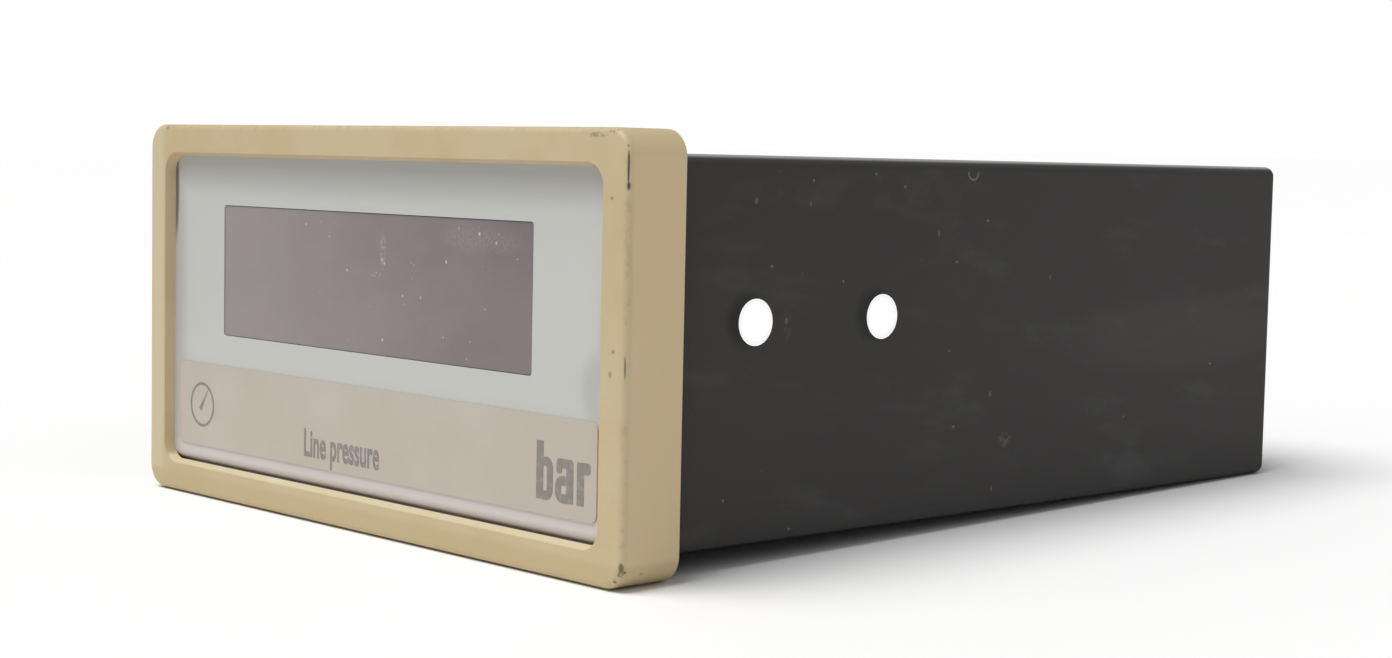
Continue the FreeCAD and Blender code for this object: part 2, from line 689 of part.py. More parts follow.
def make_terminal_block():
    """Moulding through the rear wall: slot for the board's tongue in front, terminal bays behind."""
    low = f"({SLOT_UP} - sizes.block_height / 2)"
    body = box("block_body", BLOCK_WIDTH, f"{BLOCK_FACE} - {BLOCK_FRONT}", "sizes.block_height",
               f"-{BLOCK_WIDTH} / 2", BLOCK_FRONT, low)
    flange = box("block_flange", f"{BLOCK_WIDTH} + 2 * sizes.block_flange_side",
                 "sizes.block_flange_thickness", "sizes.block_height + 2 * sizes.block_flange_edge",
                 f"-{BLOCK_WIDTH} / 2 - sizes.block_flange_side", CASE_REAR,
                 f"{low} - sizes.block_flange_edge")
    dividers = []
    for order in range(TERMINALS + 1):
        across = (f"(({order} - sizes.terminal_count / 2) * sizes.terminal_pitch"
                  " - sizes.divider_thickness / 2)")
        dividers.append(box(f"divider_{order}", "sizes.divider_thickness",
                            "sizes.divider_height + sizes.divider_root",
                            "sizes.block_height", across, f"{BLOCK_FACE} - sizes.divider_root", low))
    solid = fuse("block_solid", [body, flange] + dividers)
    slot_depth = "(sizes.tongue_length + sizes.slot_end_gap)"
    slot = box("block_slot", f"{TONGUE_WIDTH} + 2 * sizes.slot_clearance",
               f"{slot_depth} + sizes.cut_margin",
               "sizes.board_thickness + 2 * sizes.slot_clearance",
               f"-{TONGUE_WIDTH} / 2 - sizes.slot_clearance", f"{BLOCK_FRONT} - sizes.cut_margin",
               f"{BOARD_LOW} - sizes.slot_clearance")
    tools = [slot]
    for order in range(TERMINALS):
        middle = terminal_place(order)
        tools.append(box(f"spring_room_{order}", "sizes.spring_width + 2 * sizes.spring_side_gap",
                         f"{slot_depth} + sizes.cut_margin", "sizes.spring_room + sizes.slot_clearance",
                         f"{middle} - sizes.spring_width / 2 - sizes.spring_side_gap",
                         f"{BLOCK_FRONT} - sizes.cut_margin", BOARD_TOP))
        tools.append(cylinder(f"shank_hole_{order}", "sizes.terminal_shank_radius + sizes.screw_play",
                              "sizes.terminal_shank_length + 2 * sizes.cut_margin", middle,
                              f"{BLOCK_FACE} - sizes.terminal_shank_length - sizes.terminal_tip_gap",
                              SLOT_UP, "+Y"))
    for side in (-1, 1):
        tools.append(cylinder(f"block_screw_hole_{side + 1}",
                              "sizes.block_screw_shank_radius + sizes.screw_play",
                              "sizes.block_flange_thickness + 2 * sizes.cut_margin",
                              f"{side} * ({BLOCK_WIDTH} + sizes.block_flange_side) / 2",
                              f"{CASE_REAR} - sizes.cut_margin", SLOT_UP, "+Y"))
    sub_part(cut("terminal_block", solid, fuse("block_tools", tools)), "terminal_block")


def slotted_screw(name, head_radius, head_height, shank_radius, shank_length, across, back, up):
    """A cheese-head screw that points forward, its head's seat at the given place."""
    head = cylinder(name + "_head", head_radius, head_height, across, back, up, "+Y")
    shank = cylinder(name + "_shank", shank_radius, f"{shank_length} + sizes.screw_root", across,
                     f"{back} - ({shank_length})", up, "+Y")
    slot = box(name + "_slot", f"2 * ({head_radius} + sizes.cut_margin)",
               "sizes.screw_slot_depth + sizes.cut_margin", "sizes.screw_slot",
               f"{across} - {head_radius} - sizes.cut_margin",
               f"{back} + {head_height} - sizes.screw_slot_depth",
               f"{up} - sizes.screw_slot / 2")
    return cut(name, fuse(name + "_blank", [head, shank]), slot)


SPRING_LENGTH = "(sizes.tongue_length - sizes.spring_end_gap)"


def make_terminals():
    """Plates, clamping screws and contact springs, one of each to a terminal."""
    plates, screws, springs = [], [], []
    bay = "(sizes.terminal_pitch - sizes.divider_thickness - 2 * sizes.plate_side_gap)"
    for order in range(TERMINALS):
        middle = terminal_place(order)
        plate = box(f"plate_blank_{order}", bay, "sizes.plate_thickness", "sizes.plate_height",
                    f"{middle} - {bay} / 2", BLOCK_FACE, f"{SLOT_UP} - sizes.plate_height / 2")
        hole = cylinder(f"plate_hole_{order}", "sizes.terminal_shank_radius + sizes.screw_play",
                        "sizes.plate_thickness + 2 * sizes.cut_margin", middle,
                        f"{BLOCK_FACE} - sizes.cut_margin", SLOT_UP, "+Y")
        plates.append(cut(f"plate_{order}", plate, hole))
        screws.append(slotted_screw(f"terminal_screw_{order}", "sizes.terminal_head_radius",
                                    "sizes.terminal_head_height", "sizes.terminal_shank_radius",
                                    "sizes.terminal_shank_length", middle,
                                    f"({BLOCK_FACE} + sizes.plate_thickness)", SLOT_UP))
        leaf_up = f"({BOARD_TOP} + sizes.slot_clearance / 3)"
        leaf = box(f"leaf_{order}", "sizes.spring_width", SPRING_LENGTH, "sizes.spring_thickness",
                   f"{middle} - sizes.spring_width / 2", f"{BLOCK_FRONT} + sizes.spring_inset", leaf_up)
        root = box(f"leaf_root_{order}", "sizes.spring_width", "sizes.spring_thickness",
                   f"{BOARD_TOP} + sizes.spring_room + sizes.slot_clearance - {leaf_up}",
                   f"{middle} - sizes.spring_width / 2",
                   f"{BLOCK_FRONT} + sizes.spring_inset + {SPRING_LENGTH} - sizes.spring_thickness", leaf_up)
        springs.append(fuse(f"spring_{order}", [leaf, root]))
    sub_part(group("terminal_plates", plates), "terminal_plates")
    sub_part(group("terminal_screws", screws), "terminal_screws")
    sub_part(group("contact_springs", springs), "contact_springs")
    fixing = [slotted_screw(f"block_screw_{side + 1}", "sizes.block_screw_head_radius",
                            "sizes.block_screw_head_height", "sizes.block_screw_shank_radius",
                            "sizes.block_flange_thickness - sizes.block_screw_tip_gap",
                            f"({side} * ({BLOCK_WIDTH} + sizes.block_flange_side) / 2)",
                            f"({CASE_REAR} + sizes.block_flange_thickness)", SLOT_UP) for side in (-1, 1)]
    sub_part(group("block_screws", fixing), "block_screws")


# ---------------------------------------------------------------- boards


def make_boards():
    """Main board with a tongue for the terminal block, and the display board that stands across it."""
    start = f"({DISPLAY_REAR})"
    plate = box("main_board_plate", BOARD_WIDTH, f"{BLOCK_FRONT} - sizes.slot_end_gap - {start}",
                "sizes.board_thickness", f"-{BOARD_WIDTH} / 2", start, BOARD_LOW)
    tongue = box("main_board_tongue", TONGUE_WIDTH,
                 "sizes.tongue_length + sizes.slot_end_gap + sizes.tongue_root",
                 "sizes.board_thickness", f"-{TONGUE_WIDTH} / 2",
                 f"{BLOCK_FRONT} - sizes.slot_end_gap - sizes.tongue_root", BOARD_LOW)
    sub_part(fuse("main_board", [plate, tongue]), "main_board")
    body = new_body("display_board")
    pad_back(body, "display_board_plate", DISPLAY_FRONT, "sizes.board_thickness", BOARD_WIDTH,
             f"{INNER_HEIGHT} - 2 * sizes.display_board_gap")
    sub_part(box("link_header", "sizes.link_length", "sizes.link_depth", "sizes.link_height",
                 "-sizes.link_length / 2", DISPLAY_REAR, BOARD_TOP), "link_header")
    brackets, screws = [], []
    for side in (-1, 1):
        across = f"({side} * {BRACKET_ACROSS} - sizes.bracket_width / 2)"
        foot = box(f"bracket_foot_{side + 1}", "sizes.bracket_width", "sizes.bracket_length",
                   "sizes.bracket_thickness", across, DISPLAY_REAR, BOARD_TOP)
        wing = box(f"bracket_wing_{side + 1}", "sizes.bracket_width", "sizes.bracket_thickness",
                   "sizes.bracket_length", across, DISPLAY_REAR, BOARD_TOP)
        brackets.append(fuse(f"bracket_{side + 1}", [foot, wing]))
        screws.append(cylinder(f"bracket_screw_{side + 1}", "sizes.bracket_screw_radius",
                               "sizes.bracket_screw_height", f"{side} * {BRACKET_ACROSS}",
                               f"{DISPLAY_REAR} + sizes.bracket_screw_back",
                               f"{BOARD_TOP} + sizes.bracket_thickness"))
    sub_part(group("corner_brackets", brackets), "corner_brackets")
    sub_part(group("bracket_screws", screws), "bracket_screws")


def make_display():
    """Four LED digits, and the pillars that the front frame snaps on."""
    for order in range(4):
        width = "(sizes.digit_pitch - sizes.digit_space)"
        height = "(sizes.window_height + 2 * sizes.digit_overlap)"
        across = f"(sizes.window_across + ({order} - 1.5) * sizes.digit_pitch - {width} / 2)"
        digit = box(f"digit_{order + 1}", width, "sizes.digit_depth", height,
                    across, DIGIT_FRONT, f"sizes.window_up - {height} / 2")
        sub_part(digit, f"led_digit_{order + 1}")
    pillars = []
    tip_front = f"({PANEL_REAR} + sizes.pillar_end_gap)"
    shoulder = f"({PANEL_REAR} + sizes.pillar_boss_depth + sizes.pillar_end_gap)"
    for side in (-1, 1):
        for level in (-1, 1):
            name = f"pillar_{side + 1}_{level + 1}"
            across, up = f"{side} * {PILLAR_ACROSS}", f"{level} * {PILLAR_UP}"
            stem = cylinder(name + "_stem", "sizes.pillar_radius", f"{DISPLAY_FRONT} - {shoulder}",
                            across, DISPLAY_FRONT, up, "-Y")
            tip = cylinder(name + "_tip", "sizes.pillar_tip_radius", f"{DISPLAY_FRONT} - {tip_front}",
                           across, DISPLAY_FRONT, up, "-Y")
            pillars.append(fuse(name, [stem, tip]))
    sub_part(group("snap_pillars", pillars), "snap_pillars")


def make_trimmers():
    """Zero and span trimmers: a square body with a round well, and a slotted rotor that turns in it."""
    for word in ("zero", "span"):
        up = f"sizes.{word}_up"
        front = f"({DISPLAY_FRONT} - sizes.trimmer_depth)"
        well = f"({front} + sizes.rotor_well)"
        blank = box(word + "_blank", "sizes.trimmer_size", "sizes.trimmer_depth", "sizes.trimmer_size",
                    f"{TRIMMER_ACROSS} - sizes.trimmer_size / 2", front, f"{up} - sizes.trimmer_size / 2")
        hole = cylinder(word + "_well", "sizes.rotor_radius + sizes.rotor_play",
                        "sizes.rotor_well + sizes.cut_margin",
                        TRIMMER_ACROSS, well, up, "-Y")
        sub_part(cut(word + "_trimmer", blank, hole), word + "_trimmer")
        disc = cylinder(word + "_disc", "sizes.rotor_radius",
                        "sizes.rotor_well + sizes.rotor_proud - sizes.rotor_play",
                        TRIMMER_ACROSS, f"{well} - sizes.rotor_play", up, "-Y")
        slot = box(word + "_slot", "sizes.rotor_slot", "sizes.rotor_slot_depth + sizes.cut_margin",
                   "2 * (sizes.rotor_radius + sizes.cut_margin)", f"{TRIMMER_ACROSS} - sizes.rotor_slot / 2",
                   f"{front} - sizes.rotor_proud - sizes.cut_margin",
                   f"{up} - sizes.rotor_radius - sizes.cut_margin")
        sub_part(cut(word + "_rotor", disc, slot), word + "_rotor")


# ---------------------------------------------------------------- power supply


def make_transformer():
    """Mains transformer: laminated core, bobbin and winding on its middle limb, strap over it."""
    low = BOARD_TOP
    x0 = f"({CORE_ACROSS} - sizes.core_width / 2)"
    y0 = "(sizes.core_back - sizes.core_length / 2)"
    window_height = "(sizes.core_height - 2 * sizes.core_yoke)"
    block = box("core_block", "sizes.core_width", "sizes.core_length", "sizes.core_height", x0, y0, low)
    windows = [box(f"core_window_{order}", "sizes.core_width + 2 * sizes.cut_margin", "sizes.core_window",
                   window_height, f"{x0} - sizes.cut_margin",
                   f"{y0} + sizes.core_limb + {order} * (sizes.core_window + 2 * sizes.core_limb)",
                   f"{low} + sizes.core_yoke") for order in range(2)]
    sub_part(cut("transformer_core", block, fuse("core_windows", windows)), "transformer_core")

    limb_x, limb_y = "sizes.core_width", "(2 * sizes.core_limb)"
    reach = "(sizes.core_window - 2 * sizes.bobbin_gap)"
    stub_low = f"({low} + sizes.core_yoke + sizes.bobbin_gap)"
    stub_height = f"({window_height} - 2 * sizes.bobbin_gap)"

    def ring(name, inner, outer, base, height):
        """A square ring round the middle limb."""
        outside = box(name + "_outside", f"{limb_x} + 2 * ({outer})", f"{limb_y} + 2 * ({outer})", height,
                      f"{CORE_ACROSS} - {limb_x} / 2 - ({outer})",
                      f"sizes.core_back - {limb_y} / 2 - ({outer})", base)
        inside = box(name + "_inside", f"{limb_x} + 2 * ({inner})", f"{limb_y} + 2 * ({inner})",
                     f"{height} + 2 * sizes.cut_margin", f"{CORE_ACROSS} - {limb_x} / 2 - ({inner})",
                     f"sizes.core_back - {limb_y} / 2 - ({inner})", f"{base} - sizes.cut_margin")
        return cut(name, outside, inside)

    gap, wall = "sizes.bobbin_gap", "sizes.bobbin_wall"
    tube = ring("bobbin_tube", gap, f"{gap} + {wall}", stub_low, stub_height)
    foot = ring("bobbin_foot", gap, reach, stub_low, wall)
    head = ring("bobbin_head", gap, reach, f"{stub_low} + {stub_height} - {wall}", wall)
    sub_part(fuse("transformer_bobbin", [tube, foot, head]), "transformer_bobbin")
    play = "sizes.winding_gap"
    winding = ring("winding", f"{gap} + {wall} + {play}", f"{reach} - sizes.winding_sink",
                   f"{stub_low} + {wall} + {play}", f"{stub_height} - 2 * ({wall} + {play})")
    sub_part(winding, "transformer_winding")

    strap_x = f"({CORE_ACROSS} - sizes.strap_width / 2)"
    thick = "sizes.strap_thickness"
    top = box("strap_top", "sizes.strap_width", f"sizes.core_length + 2 * {thick}", thick,
              strap_x, f"{y0} - {thick}", f"{low} + sizes.core_height")
    pieces = [top]
    screws = []
    for order, side in enumerate((-1, 1)):
        face = f"(sizes.core_back + {side} * sizes.core_length / 2 - {1 - order} * {thick})"
        pieces.append(box(f"strap_leg_{order}", "sizes.strap_width", thick,
                          f"{low} + sizes.core_height - {BOARD_TOP}",
                          strap_x, face, BOARD_TOP))
        start = f"({face} - {1 - order} * (sizes.strap_foot - {thick}))"
        pieces.append(box(f"strap_foot_{order}", "sizes.strap_width", "sizes.strap_foot", thick,
                          strap_x, start, BOARD_TOP))
        screws.append(cylinder(f"strap_screw_{order}", "sizes.strap_screw_head_radius",
                               "sizes.strap_screw_head_height", CORE_ACROSS,
                               f"sizes.core_back + {side} * "
                               f"(sizes.core_length / 2 + sizes.strap_foot / 2 + {thick} / 2)",
                               f"{BOARD_TOP} + {thick}"))
    sub_part(fuse("transformer_strap", pieces), "transformer_strap")
    sub_part(group("strap_screws", screws), "strap_screws")


def standing_can(label, radius, height, across, back):
    """An electrolytic capacitor that stands on the main board."""
    can = cylinder(label + "_can", radius, height, across, back, BOARD_TOP)
    rim = doc.addObject("Part::Chamfer", label + "_rim")
    rim.Base = can
    doc.recompute()
    top = size(f"{BOARD_TOP} + {height}")
    chosen = [index for index, edge in enumerate(can.Shape.Edges, start=1)
              if abs(edge.BoundBox.ZMin - top) < 1e-4 and edge.BoundBox.XLength > 1e-3]
    rim.Edges = [(index, size("sizes.can_rim"), size("sizes.can_rim")) for index in chosen]
    return rim


def make_power_supply():
    """Reservoir and smoothing capacitors, rectifier, regulator with heat sink, fuse in its clips."""
    sub_part(standing_can("reservoir_capacitor", "sizes.reservoir_radius", "sizes.reservoir_height",
                          "sizes.reservoir_across", "sizes.reservoir_back"), "reservoir_capacitor")
    small = [standing_can(f"smoothing_{order}", "sizes.smoothing_radius", "sizes.smoothing_height",
                          "sizes.smoothing_across", f"sizes.smoothing_back + {order} * sizes.smoothing_pitch")
             for order in range(2)]
    sub_part(group("smoothing_capacitors", small), "smoothing_capacitors")
    sub_part(box("bridge_rectifier", "sizes.rectifier_length", "sizes.rectifier_width",
                 "sizes.rectifier_height",
                 "sizes.rectifier_across", "sizes.rectifier_back", BOARD_TOP), "bridge_rectifier")
    back_plate = box("sink_plate", "sizes.sink_length", "sizes.sink_thickness", "sizes.sink_height",
                     "sizes.sink_across", "sizes.sink_back", BOARD_TOP)
    wings = [box(f"sink_wing_{order}", "sizes.sink_thickness", "sizes.sink_depth", "sizes.sink_height",
                 f"sizes.sink_across + {order} * (sizes.sink_length - sizes.sink_thickness)",
                 "sizes.sink_back", BOARD_TOP) for order in range(2)]
    sub_part(fuse("heat_sink", [back_plate] + wings), "heat_sink")
    middle = "(sizes.sink_across + sizes.sink_length / 2 - sizes.regulator_width / 2)"
    tab = box("regulator_tab", "sizes.regulator_width", "sizes.regulator_tab", "sizes.regulator_height",
              middle, "sizes.sink_back + sizes.sink_thickness", f"{BOARD_TOP} + sizes.regulator_lift")
    slab = box("regulator_slab", "sizes.regulator_width", "sizes.regulator_body", "sizes.regulator_slab",
               middle, "sizes.sink_back + sizes.sink_thickness", f"{BOARD_TOP} + sizes.regulator_lift")
    legs = [box(f"regulator_leg_{order}", "sizes.regulator_leg", "sizes.regulator_leg",
                "sizes.regulator_lift + sizes.regulator_leg_root",
                f"{middle} + sizes.regulator_width / 2 + ({order} - 1) * sizes.regulator_leg_pitch"
                " - sizes.regulator_leg / 2",
                "sizes.sink_back + sizes.sink_thickness + sizes.regulator_leg_back", BOARD_TOP)
            for order in range(3)]
    sub_part(fuse("voltage_regulator", [tab, slab] + legs), "voltage_regulator")
    axis = f"({BOARD_TOP} + sizes.fuse_up)"
    cap_length = "sizes.fuse_cap"
    sink = "sizes.fuse_tube_sink"
    tube = cylinder("fuse_tube", f"sizes.fuse_radius - {sink}",
                    f"sizes.fuse_length - 2 * ({cap_length} - {sink})",
                    FUSE_ACROSS, f"sizes.fuse_back + {cap_length} - {sink}", axis, "+Y")
    caps = [cylinder(f"fuse_cap_{order}", "sizes.fuse_radius", cap_length, FUSE_ACROSS,
                     f"sizes.fuse_back + {order} * (sizes.fuse_length - {cap_length})", axis, "+Y")
            for order in range(2)]
    sub_part(fuse("mains_fuse", [tube] + caps), "mains_fuse")
    clips = []
    for order in range(2):
        back = f"sizes.fuse_back + {order} * (sizes.fuse_length - {cap_length}) + sizes.clip_inset"
        block = box(f"clip_block_{order}", "2 * (sizes.fuse_radius + sizes.clip_wall + sizes.clip_play)",
                    f"{cap_length} - 2 * sizes.clip_inset", "sizes.fuse_up + sizes.clip_grip",
                    f"{FUSE_ACROSS} - sizes.fuse_radius - sizes.clip_wall - sizes.clip_play", back, BOARD_TOP)
        seat = cylinder(f"clip_seat_{order}", "sizes.fuse_radius + sizes.clip_play",
                        f"{cap_length} + 2 * sizes.cut_margin", FUSE_ACROSS,
                        f"{back} - sizes.cut_margin", axis, "+Y")
        under = box(f"clip_under_{order}", "2 * (sizes.fuse_radius - sizes.clip_under_inset)",
                    f"{cap_length} + 2 * sizes.cut_margin",
                    "sizes.fuse_up - sizes.fuse_radius - sizes.clip_wall",
                    f"{FUSE_ACROSS} - sizes.fuse_radius + sizes.clip_under_inset",
                    f"{back} - sizes.cut_margin", BOARD_TOP)
        clips.append(cut(f"clip_{order}", block, fuse(f"clip_tools_{order}", [seat, under])))
    sub_part(group("fuse_clips", clips), "fuse_clips")


# ---------------------------------------------------------------- measuring circuit


def make_measuring_circuit():
    """Converter chip in its socket, two logic chips, film capacitors and resistors."""
    sub_part(box("converter_socket", "sizes.socket_strip_width", "sizes.converter_length",
                 "sizes.socket_strip_height",
                 "sizes.converter_across", "sizes.converter_back", BOARD_TOP), "converter_socket")
    sub_part(box("converter_chip", "sizes.converter_width",
                 "sizes.converter_length - 2 * sizes.converter_end_gap",
                 "sizes.chip_height",
                 "sizes.converter_across + (sizes.socket_strip_width - sizes.converter_width) / 2",
                 "sizes.converter_back + sizes.converter_end_gap",
                 f"{BOARD_TOP} + sizes.socket_strip_height"), "converter_chip")
    chips = [box(f"logic_chip_{order}", "sizes.logic_width", "sizes.logic_length", "sizes.chip_height",
                 LOGIC_ACROSS, f"sizes.logic_back + {order} * sizes.logic_pitch", BOARD_TOP)
             for order in range(2)]
    sub_part(group("logic_chips", chips), "logic_chips")
    films = [box(f"film_{order}", "sizes.film_length", "sizes.film_width", "sizes.film_height",
                 "sizes.film_across", f"sizes.film_back + {order} * sizes.film_pitch", BOARD_TOP)
             for order in range(3)]
    sub_part(group("film_capacitors", films), "film_capacitors")
    resistors = [cylinder(f"resistor_{order}", "sizes.resistor_radius", "sizes.resistor_length",
                          RESISTOR_ACROSS, f"sizes.resistor_back + {order} * sizes.resistor_pitch",
                          f"{BOARD_TOP} + sizes.resistor_radius", "+X") for order in range(5)]
    sub_part(group("input_resistors", resistors), "input_resistors")


# ---------------------------------------------------------------- build, check and write

make_bezel_frame()
make_front_panel()
make_display_filter()
make_legend_strip()
make_case_shell()
make_clamp_sockets()
make_terminal_block()
make_terminals()
make_boards()
make_display()
make_trimmers()
make_transformer()
make_power_supply()
make_measuring_circuit()
doc.recompute()

faults = [f"{item.Label}: {state}" for item in doc.Objects for state in item.State
          if state in ("Invalid", "Error")]
for item in SUB_PARTS:
    if item.Shape.isNull() or not item.Shape.isValid() or not item.Shape.Solids:
        faults.append(f"{item.Label}: no valid solid")
if faults:
    raise RuntimeError("\n".join(faults))

os.makedirs("parts", exist_ok=True)
for item in SUB_PARTS:
    item.Shape.exportStep(f"parts/{item.Label}.step")
print(len(SUB_PARTS), "sub-parts written")
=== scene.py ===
"""Looks of a panel-mounting digital indicator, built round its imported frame.

The indicator has a cream front frame, a grey front panel with a smoked window, a beige legend
strip, a black case with white clamp sockets, a terminal block behind and boards inside.
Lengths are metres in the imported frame: +X right seen from the front, +Y back, +Z up.
"""

from __future__ import annotations

import logging
import math
from dataclasses import dataclass
from enum import Enum
from typing import Sequence

import bmesh
import bpy
from mathutils import Matrix, Vector


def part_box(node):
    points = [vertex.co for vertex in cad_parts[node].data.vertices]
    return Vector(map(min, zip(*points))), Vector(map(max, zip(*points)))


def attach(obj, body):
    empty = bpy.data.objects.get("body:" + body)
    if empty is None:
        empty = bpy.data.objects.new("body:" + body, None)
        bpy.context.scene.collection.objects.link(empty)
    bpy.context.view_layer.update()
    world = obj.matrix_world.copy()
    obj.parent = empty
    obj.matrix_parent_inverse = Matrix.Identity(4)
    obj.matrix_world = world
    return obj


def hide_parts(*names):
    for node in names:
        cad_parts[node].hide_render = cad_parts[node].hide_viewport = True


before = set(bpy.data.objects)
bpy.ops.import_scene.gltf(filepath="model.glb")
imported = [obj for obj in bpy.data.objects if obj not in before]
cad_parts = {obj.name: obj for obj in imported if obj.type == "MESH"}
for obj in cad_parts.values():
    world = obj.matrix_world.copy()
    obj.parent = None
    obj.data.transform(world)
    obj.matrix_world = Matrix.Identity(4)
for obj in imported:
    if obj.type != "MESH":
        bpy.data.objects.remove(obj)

LOG = logging.getLogger("indicator")
MM = 0.001
LEAD_PITCH = 2.54 * MM
TERMINALS = 10
COAT_ROUGHNESS = 0.2
CAPITAL_SHARE = 0.70
SMOOTH_ANGLE = math.radians(32)

UP, BACK, FORWARD, RIGHT = (0.0, 0.0, 1.0), (0.0, 1.0, 0.0), (0.0, -1.0, 0.0), (1.0, 0.0, 0.0)
UPRIGHT = Matrix.Rotation(math.radians(90.0), 4, "X")

Number = "Field | float"
Colour = tuple[float, float, float]


# ------------------------------------------------------------------ shader expressions


@dataclass(frozen=True)
class Field:
    """A number, colour or vector that varies over a surface, held as a node socket.

    Attributes:
        graph: The material graph that the socket belongs to.
        socket: The output socket that carries the value.
    """

    graph: "Graph"
    socket: bpy.types.NodeSocket

    def _math(self, operation: str, first: Number, second: Number = 0.0) -> "Field":
        """Adds one Math node."""
        return self.graph.math(operation, first, second)

    def __add__(self, other: Number) -> "Field":
        """Sum."""
        return self._math("ADD", self, other)

    __radd__ = __add__

    def __sub__(self, other: Number) -> "Field":
        """Difference."""
        return self._math("SUBTRACT", self, other)

    def __rsub__(self, other: Number) -> "Field":
        """Difference from a plain number."""
        return self._math("SUBTRACT", other, self)

    def __mul__(self, other: Number) -> "Field":
        """Product."""
        return self._math("MULTIPLY", self, other)

    __rmul__ = __mul__

    def __pow__(self, other: Number) -> "Field":
        """Power."""
        return self._math("POWER", self, other)

    def __abs__(self) -> "Field":
        """Size without its sign."""
        return self._math("ABSOLUTE", self)

    def __mod__(self, other: Number) -> "Field":
        """Remainder, always from zero up."""
        return self._math("FLOORED_MODULO", self, other)

    def larger(self, other: Number) -> "Field":
        """The larger of the two."""
        return self._math("MAXIMUM", self, other)

    def smaller(self, other: Number) -> "Field":
        """The smaller of the two."""
        return self._math("MINIMUM", self, other)

    def rise(self, start: float, end: float) -> "Field":
        """A smooth step.

        Args:
            start: Value at which the result is 0.
            end: Value at which the result is 1; it may be the lower of the two.

        Returns:
            A field from 0 to 1.
        """
        if start > end:
            return 1.0 - self.rise(end, start)
        node = self.graph.node(
            "ShaderNodeMapRange",
            {"interpolation_type": "SMOOTHSTEP", "clamp": True},
            {"Value": self, "From Min": start, "From Max": end},
        )
        return Field(self.graph, node.outputs["Result"])


